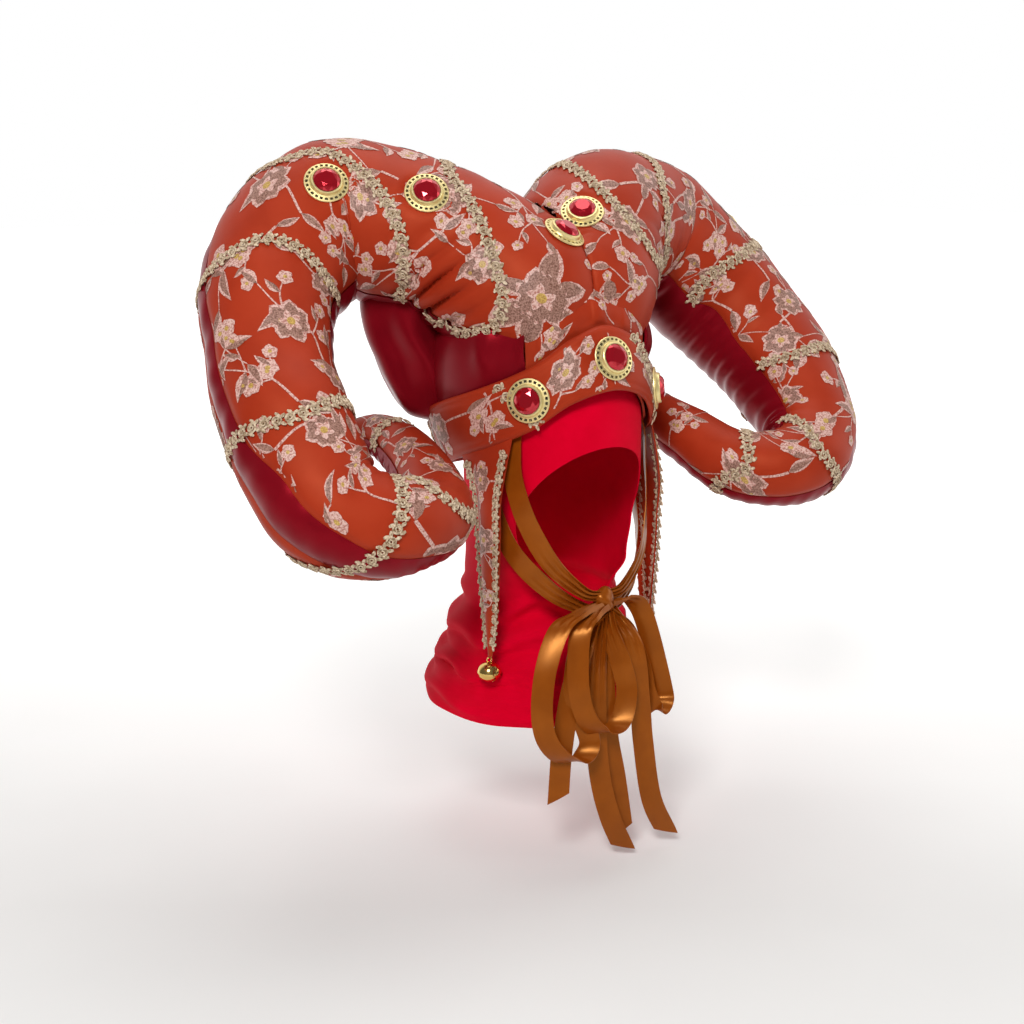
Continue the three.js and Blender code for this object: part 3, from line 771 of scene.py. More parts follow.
        head = math.atan2(turn[1][0], turn[0][0])
        bend = spread(-12, 12)
        stem = [at(-far, spread(-12, 12)), at(-near, bend), at(near, -bend * 0.4), at(far, spread(-16, 16))]
        self.twig(chart, stem, self.stem_width_mm * size, Thread.PALE)
        for root, way in ((1, 1), (2, -1), (1, -1)):
            foot = stem[root]
            along = head + way * spread(0.5, 1.1)
            reach = spread(*self.twig_mm) * size
            tip = foot + heading(along) * reach
            middle = (foot + tip) / 2 + Vector((-math.sin(along), math.cos(along))) * spread(-4, 4)
            self.twig(chart, [foot, middle, tip], self.twig_width_mm * size, Thread.PALE)
            self.blossom(chart, tip, spread(*self.blossom_mm) * size)
            self.leaf(chart, middle, along - way * spread(0.6, 1.0), spread(*self.leaf_mm) * size)
        for foot, way in ((stem[0], math.pi), (stem[3], 0.0), (stem[2], 1.3)):
            self.leaf(chart, foot, head + way + spread(-0.5, 0.5), spread(*self.end_leaf_mm) * size)
        if large:
            self.peony(chart, at(spread(-6, 6), spread(-5, 5)), spread(*self.peony_mm) * size)
        else:
            for _ in range(3):
                self.blossom(chart, at(spread(-14, 14), spread(-12, 12)), spread(*self.cluster_mm) * size)


# The leaves of a lace rose: their place along and across the braid in millimetres, and their turn.
ROSE_LEAVES = ((5.6, 3.6, 0.6), (5.6, -3.6, -0.6), (1.2, 5.6, 2.4), (-1.2, -5.6, -0.7))


@dataclass
class Lace:
    """A braid of guipure roses and leaves that repeats along a line."""

    pitch_mm: float = 11.5
    rose_mm: float = 4.9
    cord_mm: float = 1.15
    leaf_mm: Triple = (3.6, 1.9, 0.8)
    leaf_up_mm: float = 0.8
    unit: Mesh = field(init=False)

    def __post_init__(self) -> None:
        """Makes the shape that repeats."""
        self.unit = self.rose()

    def ring(self, maker: MeshMaker, radius: float, cord: float, sides: int, height: float) -> None:
        """Adds a ring of cord.

        Args:
            maker: the mesh to add to.
            radius: the ring's radius in millimetres.
            cord: the cord's radius.
            sides: how many sides the ring has.
            height: how far the ring stands above the cloth.
        """

        def place(across: float, along: float) -> Vector:
            """Returns a point of the ring's cord."""
            turn, wind = along * TURN, across * TURN
            reach = radius + cord * math.cos(wind)
            point = Vector((reach * math.cos(turn), reach * math.sin(turn), height + cord * math.sin(wind)))
            return point * UNIT

        maker.patch(place, 4, sides)

    def rose(self) -> Mesh:
        """Makes one rose with its leaves.

        Returns:
            The shape, lying along X with the cloth below it.
        """
        maker = MeshMaker()
        self.ring(maker, self.rose_mm - self.cord_mm, self.cord_mm, 9, 0.9)
        self.ring(maker, self.rose_mm * 0.36, self.cord_mm * 0.8, 6, 1.5)
        scale = Matrix.Diagonal((*self.leaf_mm, 1.0))
        for x, y, turn in ROSE_LEAVES:
            made = bmesh.ops.create_uvsphere(maker.mesh, u_segments=6, v_segments=3, radius=UNIT)
            move = Matrix.Translation(Vector((x, y, self.leaf_up_mm)) * UNIT)
            matrix = move @ Matrix.Rotation(turn, 4, "Z") @ scale
            bmesh.ops.transform(maker.mesh, matrix=matrix, verts=made["verts"])
        maker.close()
        return maker.shape("lace rose")

    def lay(self, maker: MeshMaker, line: Sequence[tuple[Vector, Vector]]) -> None:
        """Lays the braid along a line on a surface.

        Args:
            maker: the mesh to add to.
            line: points with the surface's outward direction at each.
        """
        pitch = self.pitch_mm * UNIT
        travelled, due = 0.0, pitch / 2
        for (start, facing), (end, _) in zip(line, line[1:]):
            length = (end - start).length
            while length > 0 and travelled + length >= due:
                way = (end - start).normalized()
                point = start + way * (due - travelled)
                out = square_to(way, facing)
                across = out.cross(way)
                turned = Matrix((way, across, out)).transposed().to_4x4()
                maker.stamp(self.unit, Matrix.Translation(point) @ turned)
                due += pitch
            travelled += length


# Horns

# The middle line of each horn: out, back and up, and the radius there. One row is one station.
HORN_STATIONS = {
    Side.RIGHT: (
        (28, -5, 40, 78), (94, 50, 92, 72), (178, 104, 110, 75), (248, 84, 58, 66.5),
        (278, 28, -8, 57), (284, -27, -66, 57.5), (274, -75, -118, 55), (241, -102, -136, 46.5),
        (204, -106, -138, 39), (172, -82, -138, 34), (152, -30, -122, 29), (144, 30, -103, 24),
        (146, 82, -96, 20), (164, 105, -106, 17), (174, 92, -126, 14), (168, 66, -136, 10),
    ),
    Side.LEFT: (
        (28, -5, 40, 78), (86, 47, 96, 77), (176, 84, 95, 70), (244, 69, 36, 70),
        (277, 24, -17, 64.5), (282, -28, -61, 58), (268, -83, -103, 48.5), (236, -110, -126, 43),
        (199, -109, -133, 38), (165, -79, -126, 33), (147, -27, -103, 28), (140, 32, -87, 24),
        (143, 83, -88, 20), (160, 105, -101, 17), (170, 92, -122, 14), (164, 66, -134, 10),
    ),
}
# The satin strips: station, the way they face as out, back and up, and their reach to the back and the front
# of that in degrees.
INNER_STRIP = (
    (0, -0.1, 0.2, -1, 40, 78), (0.4, -0.18, 0.16, -0.98, 41, 57), (1, -0.3, 0.1, -0.95, 42, 45),
    (2.5, -0.5, -0.1, -0.85, 46, 46), (3.5, -0.92, 0.06, -0.37, 48, 48), (5, -0.65, 0.65, 0.3, 38, 38),
    (7.5, 0.1, 0.75, 0.65, 32, 32), (10, 0.8, 0.2, -0.5, 40, 40), (12, 0.75, 0, -0.65, 38, 38),
)
OUTER_STRIP = (
    (0, -0.4, 0.9, 0.2, 8, 8), (1, -0.2, 0.95, 0.2, 10, 10), (2.2, 0.5, 0.78, 0.36, 12, 12),
    (3.3, 0.88, 0.14, 0.45, 24, -2), (4.2, 0.96, -0.11, 0.28, 26, -2), (5, 0.97, -0.2, 0.08, 24, 6),
    (5.8, 0.86, -0.49, -0.1, 21, 21), (8, 0.2, -0.5, -0.85, 24, 24), (10, -0.61, 0.16, -0.78, 30, 30),
    (12, -0.61, 0.16, -0.78, 30, 30),
)
# Jewels on the horns: name, station, facing as out, back and up, and how far they sink in.
HORN_JEWELS = {
    Side.RIGHT: (
        ("base", 0, -0.22, -0.56, 0.8, 2.5), ("middle", 1.15, 0.34, -0.73, 0.59, 2.5),
        ("outer", 2.15, 0.27, -0.78, 0.57, 2.5),
    ),
    Side.LEFT: (
        ("base", 0.36, -0.34, -0.52, 0.78, 2.5), ("middle", 1.8, 0.07, 0.2, 0.97, 6),
        ("outer", 2.75, 0.42, 0.15, 0.89, 2.5),
    ),
}
# Lace rings on the horns: the angle round the horn in degrees and the station there, row by row.
LACE_RINGS = {
    Side.RIGHT: (
        (
            (40, 1.0), (95, 1.1), (150, 1.14), (190, 1.04), (222, 0.6), (250, 0.18), (275, 0.06), (298, 0.28),
            (316, 0.8),
        ),
        (
            (42, 1.9), (100, 2.2), (150, 2.36), (190, 2.26), (208, 1.94), (222, 1.58), (245, 1.28),
            (275, 1.13), (312, 1.12),
        ),
        ((46, 3.2), (120, 3.3), (188, 3.28), (228, 3.05), (260, 3.06), (296, 3.24), (318, 3.2)),
        ((36, 5.0), (110, 5.0), (178, 5.04), (232, 5.16), (286, 5.0), (324, 4.95)),
        ((32, 6.2), (90, 6.1), (134, 6.16), (186, 6.88), (222, 7.17), (278, 7.36), (328, 7.4)),
        ((32, 9.1), (110, 9.1), (168, 8.94), (242, 8.22), (280, 7.95), (328, 7.9)),
        ((38, 11.3), (150, 11.4), (266, 11.4), (322, 11.4)),
    ),
    Side.LEFT: (
        ((42, 1.2), (110, 1.0), (148, 0.92), (188, 0.56), (222, 0.34), (250, 0.42), (290, 1.1), (320, 1.75)),
        ((44, 2.0), (120, 1.8), (196, 1.6), (230, 1.24), (262, 1.12), (316, 1.4)),
        ((46, 3.0), (130, 3.2), (230, 3.12), (268, 2.92), (290, 2.82), (318, 2.95)),
        ((36, 5.1), (140, 5.0), (228, 5.06), (284, 5.22), (324, 5.02)),
        ((30, 6.5), (110, 6.8), (196, 7.12), (260, 7.36), (322, 6.84), (334, 6.7)),
        ((32, 9.0), (142, 8.94), (178, 8.74), (212, 8.58), (264, 8.78), (326, 8.8)),
        ((38, 11.3), (150, 11.4), (266, 11.4), (322, 11.4)),
    ),
}
# Flowers at the roots of the horns: station, angle, leaves by their turn and length, and radius.
ROOT_FLOWERS = {
    Side.RIGHT: (
        (-0.14, 243, ((-1.35, 38), (0.1, 30), (1.1, 44), (1.75, 40), (-2.2, 34), (3.0, 32)), 26),
        (-0.3, 196, ((-1.9, 26),), 5),
    ),
    Side.LEFT: (
        (-0.3, 205, ((2.4, 30),), 5),
        (-0.14, 232, (), 8),
    ),
}
FLOWER_SEEDS = {Side.RIGHT: 17, Side.LEFT: 29}


@dataclass(frozen=True)
class Seat:
    """The place of a jewel."""

    name: str
    point: Vector
    normal: Vector

    def matrix(self) -> Matrix:
        """Returns the matrix that stands a jewel on its seat."""
        return Matrix.Translation(self.point) @ self.normal.to_track_quat("Z", "Y").to_matrix().to_4x4()


@dataclass
class Ring:
    """One ring of a horn, worked out as out, back and up in millimetres."""

    centre: Vector
    tangent: Vector
    inner: Vector
    round: Vector
    bend: Vector
    across: float
    radius: float


@dataclass(eq=False)
class Horn:
    """A stuffed horn: brocade panels, two satin strips, lace rings and woven flowers."""

    side: Side
    looks: Looks
    lace: Lace
    rings_per_station: int = 16
    columns: tuple[int, int, int, int] = (14, 40, 14, 48)
    rows: int = 330
    dense_until: Pair = (2.2, 0.35)
    channel_mm: float = 2.6
    seam_mm: float = 2.4
    seam_width_mm: float = 4.5
    lace_steps: int = 160
    lace_sunk_mm: float = 0.4
    lace_dip_mm: float = 1.1
    lace_dip_width: float = 0.14
    hollow_share: float = 0.72
    lump_mm: float = 2.4
    lump_per_mm: float = 0.021
    bunch_mm: float = 1.5
    bunch_turns: float = 15.0
    strip_end: float = 12.0
    strip_faces: tuple[int, int] = (18, 300)
    strip_turns: float = 21.0
    strip_gathers_mm: Pair = (1.8, 1.4)
    strip_sunk_mm: float = 1.9
    strip_bow_mm: float = 2.4
    strip_thick: float = 0.0008
    strip_cuts: Pair = (0.12, 0.06)
    strip_share: float = 0.7
    crease_mm: float = 10.0
    crease_at: Pair = (0.72, 0.4)
    crease_degrees: Pair = (288.0, 42.0)
    crease_slant: float = 0.0063
    crease_pitch: float = 0.24
    crease_width: float = 0.45
    press_reach: float = 0.034
    press_depth: float = 0.02
    press_edge: float = 0.0205
    press_gap: float = 0.0004
    press_slope: float = 0.55
    press_slope_beside: float = 2.5
    flower_from: float = 0.35
    flower_to: float = 14.5
    flower_ends: Pair = (-0.8, 14.6)
    flower_margin_mm: float = 1.5
    flower_round_mm: float = 74.0
    flower_along_mm: float = 66.0
    flower_full_mm: float = 40.0
    flower_least: float = 0.62
    root: float = -0.9
    root_degrees: float = 80.0
    tip: float = 0.9
    tip_degrees: float = 88.0
    tip_length: float = 0.7
    rings: list[Ring] = field(init=False)
    seats: list[Seat] = field(init=False)
    beside: tuple[Seat, ...] = ()

    def __post_init__(self) -> None:
        """Works out the rings and the seats of the jewels."""
        self.line = Curve(tuple(row[:3] for row in HORN_STATIONS[self.side]))
        self.girth = Curve(tuple((row[3], 0.0, 0.0) for row in HORN_STATIONS[self.side]))
        self.seats = []
        self.rings = self.frames()
        self.seats = [self.seat(*row) for row in HORN_JEWELS[self.side]]

    def facing(self, rows: Rows, station: float, tangent: Vector) -> Vector:
        """Returns the unit direction that a strip faces at a station, square to the horn's tangent there."""
        way = Vector([table_at(rows, station, column) for column in (1, 2, 3)])
        return square_to(tangent, way)

    def frames(self) -> list[Ring]:
        """Works out a ring at each step along the horn.

        Returns:
            The rings, from the root to the tip.
        """
        rings: list[Ring] = []
        for index in range(self.line.last * self.rings_per_station + 1):
            station = index / self.rings_per_station
            tangent = self.line.tangent(station)
            held = min(station, self.strip_end)
            if station <= self.strip_end:
                inner = self.facing(INNER_STRIP, station, tangent)
            else:
                inner = square_to(tangent, rings[-1].inner)
            side = tangent.cross(inner)
            outer = self.facing(OUTER_STRIP, held, tangent)
            turned = math.atan2(outer.dot(side), outer.dot(inner)) % TURN
            across = turned if station <= self.strip_end else rings[-1].across
            low, high = max(0.0, station - 0.5), min(float(self.line.last), station + 0.5)
            change = self.line.tangent(high) - self.line.tangent(low)
            bend = change / (self.line.at(high) - self.line.at(low)).length
            radius = self.girth.at(station).x
            rings.append(Ring(self.line.at(station), tangent, inner, side, bend, across, radius))
        return rings

    @functools.lru_cache(maxsize=4096)
    def ring(self, station: float) -> Ring:
        """Blends the rings on either side of a station, rounding the root and the tip.

        Args:
            station: where along the horn, from below 0 at the root to past the last station at the tip.

        Returns:
            The ring there.
        """
        held = min(float(self.line.last), max(0.0, station)) * self.rings_per_station
        index = min(len(self.rings) - 2, int(held))
        low, high, share = self.rings[index], self.rings[index + 1], held - index
        made = Ring(
            low.centre.lerp(high.centre, share),
            low.tangent.lerp(high.tangent, share).normalized(),
            low.inner.lerp(high.inner, share).normalized(),
            low.round.lerp(high.round, share).normalized(),
            low.bend.lerp(high.bend, share),
            lerp(low.across, high.across, share),
            lerp(low.radius, high.radius, share),
        )
        over = station - self.line.last
        turn = 0.0
        if station < 0:
            turn = station / self.root * math.radians(self.root_degrees)
            made.centre = made.centre - made.tangent * (made.radius * math.sin(turn))
        elif over > 0:
            turn = over / self.tip * math.radians(self.tip_degrees)
            made.centre = made.centre + made.tangent * (made.radius * self.tip_length * math.sin(turn))
        made.radius *= math.cos(turn)
        return made

    def hollow(self, ring: Ring, way: Vector) -> float:
        """Returns how much the stuffing is squeezed in a direction, about 1 where the cloth bunches."""
        return max(0.0, way.dot(ring.bend) * ring.radius)

    def point(self, station: float, angle: float, lift: float) -> tuple[Vector, Vector]:
        """Finds a point of the horn's cloth.

        Args:
            station: where along the horn.
            angle: the angle round the ring from the middle of the inner strip.
            lift: the height above the plain cloth in millimetres.

        Returns:
            The point in metres and the outward direction.
        """
        ring = self.ring(station)
        way = ring.inner * math.cos(angle) + ring.round * math.sin(angle)
        room = self.hollow_share / max(1e-6, way.dot(ring.bend))
        reach = min(ring.radius, room)
        spot = ring.centre + way * reach
        squeezed = self.hollow(ring, way)
        wave = noise.noise(spot * self.lump_per_mm) * self.lump_mm
        bunch = math.sin(station * self.bunch_turns + 5 * noise.noise(spot * 0.02))
        wave -= self.bunch_mm * ease(squeezed * 1.4) * (0.5 + 0.5 * bunch)
        wave -= self.crease(station, math.degrees(angle % TURN))
        place = ring.centre + way * (reach + wave + lift)
        place.x = max(place.x, 0.5)
        mirror = self.side.mirror
        return self.pressed(place * mirror * UNIT), way * mirror

    def crease(self, station: float, degrees: float) -> float:
        """Shapes the creases that run slanting round the front of the horn's root.

        Args:
            station: where along the horn.
            degrees: the angle round the ring.

        Returns:
            The depth in millimetres.
        """
        middle, width = self.crease_at
        front, spread = self.crease_degrees
        reach = bump(station - middle, width) * bump(degrees - front, spread)
        if reach < 0.02:
            return 0.0
        drift = 0.9 * noise.noise(Vector((station * 2.5, degrees * 0.02, self.side.value)))
        slant = (station - self.crease_slant * (degrees - 270)) * TURN / self.crease_pitch + drift
        return self.crease_mm * reach * bump(math.sin(slant / 2), self.crease_width)

    def pressed(self, place: Vector) -> Vector:
        """Presses the cloth down under the settings.

        Args:
            place: a point of the cloth in metres.

        Returns:
            The point, below the settings that cover it.
        """
        for seat in (*self.seats, *self.beside):
            away = place - seat.point
            height = away.dot(seat.normal)
            aside = (away - seat.normal * height).length
            if aside < self.press_reach and height > -self.press_depth:
                slope = self.press_slope if seat in self.seats else self.press_slope_beside
                limit = -self.press_gap + max(0.0, aside - self.press_edge) * slope
                place = place - seat.normal * max(0.0, height - limit)
        return place

    def seat(self, name: str, station: float, out: float, back: float, up: float, sunk: float) -> Seat:
        """Finds the seat of a jewel.

        Args:
            name: the jewel's name.
            station: where along the horn.
            out: the first number of the way it faces.
            back: the second.
            up: the third.
            sunk: how far it sinks in.

        Returns:
            The seat, mirrored to the horn's side.
        """
        tangent = self.line.tangent(station)
        way = square_to(tangent, Vector((out, back, up)))
        point = self.line.at(station) + way * (self.girth.at(station).x - sunk)
        mirror = self.side.mirror
        return Seat(f"{self.side.label}_{name}", point * mirror * UNIT, way * mirror)

    @functools.cache
    def zones(self, station: float) -> tuple[Pair, ...]:
        """Finds where the strips and panels lie round a ring.

        Args:
            station: where along the horn.

        Returns:
            The first and last angle of the inner strip, a panel, the outer strip and the other panel.
        """
        across = self.ring(station).across
        back, front = (math.radians(table_at(INNER_STRIP, station, column)) for column in (4, 5))
        low, high = (math.radians(table_at(OUTER_STRIP, station, column)) for column in (4, 5))
        return (
            (-front, back),
            (back, across - low),
            (across - low, across + high),
            (across + high, TURN - front),
        )

    def station_at(self, share: float) -> float:
        """Finds a station from a share of the horn's length.

        Args:
            share: 0 at the root, 1 at the tip.

        Returns:
            The station.
        """
        middle, split = self.dense_until
        if share < split:
            return lerp(self.root, middle, share / split)
        return lerp(middle, self.line.last + self.tip, (share - split) / (1 - split))

    @functools.cache
    def girth_at(self, station: float) -> float:
        """Returns the horn's radius at a station, in millimetres."""
        return self.ring(station).radius

    def panel_lift(self, station: float, angle: float, zone: Pair) -> float:
        """Shapes a brocade panel: it dips at its seams and under the lace.

        Args:
            station: where along the horn.
            angle: the angle round the ring.
            zone: the panel's first and last angle.

        Returns:
            The lift in millimetres.
        """
        radius = self.girth_at(station)
        lift = 0.0
        for edge in zone:
            lift -= self.seam_mm * bump((angle - edge) * radius, self.seam_width_mm)
        for rows in LACE_RINGS[self.side]:
            away = station - table_at(rows, math.degrees(angle), 1)
            lift -= self.lace_dip_mm * bump(away, self.lace_dip_width)
        return lift

    def body(self) -> None:
        """Builds the stuffed brocade body, with a channel under each strip."""
        maker = MeshMaker()
        total = sum(self.columns)
        starts = [sum(self.columns[:index]) for index in range(4)]

        def place(across: float, along: float) -> Vector:
            """Returns a point of the body, on the zone that its column belongs to."""
            station = self.station_at(along)
            column = across * total
            index = max(number for number in range(4) if starts[number] <= column + 1e-6)
            zone = self.zones(station)[index]
            share = (column - starts[index]) / self.columns[index]
            angle = lerp(zone[0], zone[1], share)
            if index % 2:
                lift = self.panel_lift(station, angle, zone)
            elif station > self.strip_end:
                lift = -self.seam_mm * ease(self.strip_end + 1 - station)
            else:
                lift = -self.channel_mm
            return self.point(station, angle, lift)[0]

        maker.patch(place, total, self.rows)
        maker.close(WRAP_JOIN)
        name = self.side.label
        piece = maker.piece(f"horn_{name}_brocade", [self.looks.brocade], "brocade", [f"horn_{name}"])

    def strip(self, index: int, name: str, gather: float) -> None:
        """Builds a satin strip in its channel.

        Args:
            index: its place among the zones.
            name: the part's node.
            gather: how deep its gathers are in millimetres.
        """
        maker = MeshMaker()

        def place(across: float, along: float) -> Vector:
            """Returns a point of the strip, gathered most where the horn bends."""
            station = lerp(0.0, self.strip_end, along)
            zone = self.zones(station)[index]
            angle = lerp(zone[0], zone[1], across)
            side = 2 * across - 1
            ring = self.ring(station)
            way = ring.inner * math.cos(angle) + ring.round * math.sin(angle)
            squeezed = self.hollow(ring, way)
            drift = 3 * noise.noise(Vector((station * 1.3, across * 0.8, index)))
            turn = station * self.strip_turns + drift + 0.8 * side
            wave = math.sin(turn) * gather * (0.3 + ease(squeezed))
            lift = -self.strip_sunk_mm + self.strip_bow_mm * (1 - side**2) + wave * (1 - side**4)
            return self.point(station, angle, lift)[0]

        maker.patch(place, *self.strip_faces)
        maker.close(SHEET_JOIN)
        maker.sheet(self.strip_thick, f"{name}_satin", self.looks.satin, "satin", name)

    def lace_rings(self) -> None:
        """Lays the lace rings over the brocade."""
        maker = MeshMaker()
        for rows in LACE_RINGS[self.side]:
            curve = Curve(tuple((angle, station, 0.0) for angle, station in rows))
            line = []
            for step in range(self.lace_steps + 1):
                angle, station, _ = curve.at(step / self.lace_steps * curve.last)
                line.append(self.point(station, math.radians(angle), -self.lace_sunk_mm))
            self.lace.lay(maker, line)
        maker.piece(f"horn_{self.side.label}_lace", [self.looks.lace], "brocade")

    def chart(self, station: float, angle: float) -> Chart:
        """Makes a flat chart of the brocade round a point.

        Args:
            station: the point's station.
            angle: the point's angle.

        Returns:
            A function from millimetres along and round, and a lift, to a point, or None off the brocade.
        """
        quarter = 0.25
        middle = max(quarter, min(self.line.last - quarter, station))
        step = (self.line.at(middle + quarter) - self.line.at(middle - quarter)).length * 2
        radius = self.ring(station).radius
        first, last = self.flower_ends

        def place(along: float, across: float, lift: float) -> Vector | None:
            """Returns a point of the brocade, or None past its ends and off its panels."""
            here = station + along / step
            turn = (angle + across / radius) % TURN
            if not first <= here <= last:
                return None
            margin = self.flower_margin_mm / radius
            for index, (low, high) in enumerate(self.zones(round(here, 2))):
                if low + margin < turn < high - margin and index % 2:
                    shape = self.panel_lift(round(here, 2), turn, (low, high))
                    return self.point(here, turn, shape + lift)[0]
            return None

        return place

    def flowers(self) -> None:
        """Scatters woven sprays over the brocade."""
        chance = random.Random(FLOWER_SEEDS[self.side])
        maker = MeshMaker()
        spray = Spray(maker, chance)
        station, row = self.flower_from, 0
        while station < self.flower_to:
            radius = self.ring(station).radius
            count = max(2, round(TURN * radius / self.flower_round_mm))
            scale = min(1.0, max(self.flower_least, radius / self.flower_full_mm))
            for index in range(count):
                angle = (index + 0.5 * (row % 2) + chance.uniform(-0.12, 0.12)) * TURN / count
                chart = self.chart(station + chance.uniform(-0.1, 0.1), angle)
                spray.draw(chart, (index + row) % 2 == 0, scale * chance.uniform(0.85, 1.0))
            before, after = max(0.0, station - 0.5), min(float(self.line.last), station + 0.5)
            station += self.flower_along_mm * scale / (self.line.at(after) - self.line.at(before)).length
            row += 1
        for station, degrees, leaves, radius in ROOT_FLOWERS[self.side]:
            chart = self.chart(station, math.radians(degrees))
            for turn, length in leaves:
                foot = heading(turn) * radius * 0.45
                spray.leaf(chart, foot, turn, length, 0.55)
            if radius > spray.peony_mm[0]:
                spray.peony(chart, Vector((0.0, 0.0)), radius)
            elif leaves:
                spray.blossom(chart, Vector((0.0, 0.0)), radius)
            else:
                spray.draw(chart, False, radius / 10)
        maker.piece(f"horn_{self.side.label}_flowers", self.looks.weft, "brocade")

    def build(self) -> None:
        """Builds the whole horn."""
        name = self.side.label
        self.body()
        inner, outer = self.strip_gathers_mm
        self.strip(0, f"gusset_inner_{name}", inner)
        self.strip(2, f"gusset_outer_{name}", outer)
        self.lace_rings()
        self.flowers()


# Cap

# The brow band: angle from the front, lower and upper edge, lean of the upper edge, swelling of the cap.
BAND_ROWS = (
    (0, -38, 20, 20, 2), (25, -49, 9, 13, 2), (48, -76, -16, 6, 6), (90, -108, -50, -14, 10),
    (130, -130, -74, -18, 14), (180, -138, -82, -16, 16),
)
# The satin pouches under the horns: height, place out and back, and radius.
PUFF_ROWS = (
    (-84, 84, 72, 12), (-74, 90, 76, 28), (-48, 98, 78, 36), (-18, 104, 80, 40), (12, 110, 82, 42),
    (44, 113, 85, 42), (66, 113, 85, 30),
)
# Lengths of lace over the band, from an angle and a share of its height to another.
BAND_LACE = (
    ((-66, 0.97), (-42, 0.03)), ((20, 0.97), (48, 0.03)), ((-124, 0.97), (-128, 0.03)),
    ((100, 0.97), (104, 0.03)),
)
# Sprays on the front of the cap: angle and share of its height.
FRONT_SPRAYS = ((-40, 0.12), (6, 0.3), (36, 0.2))
BAND_JEWELS = (("right", -48.0), ("centre", 0.0), ("left", 48.0))


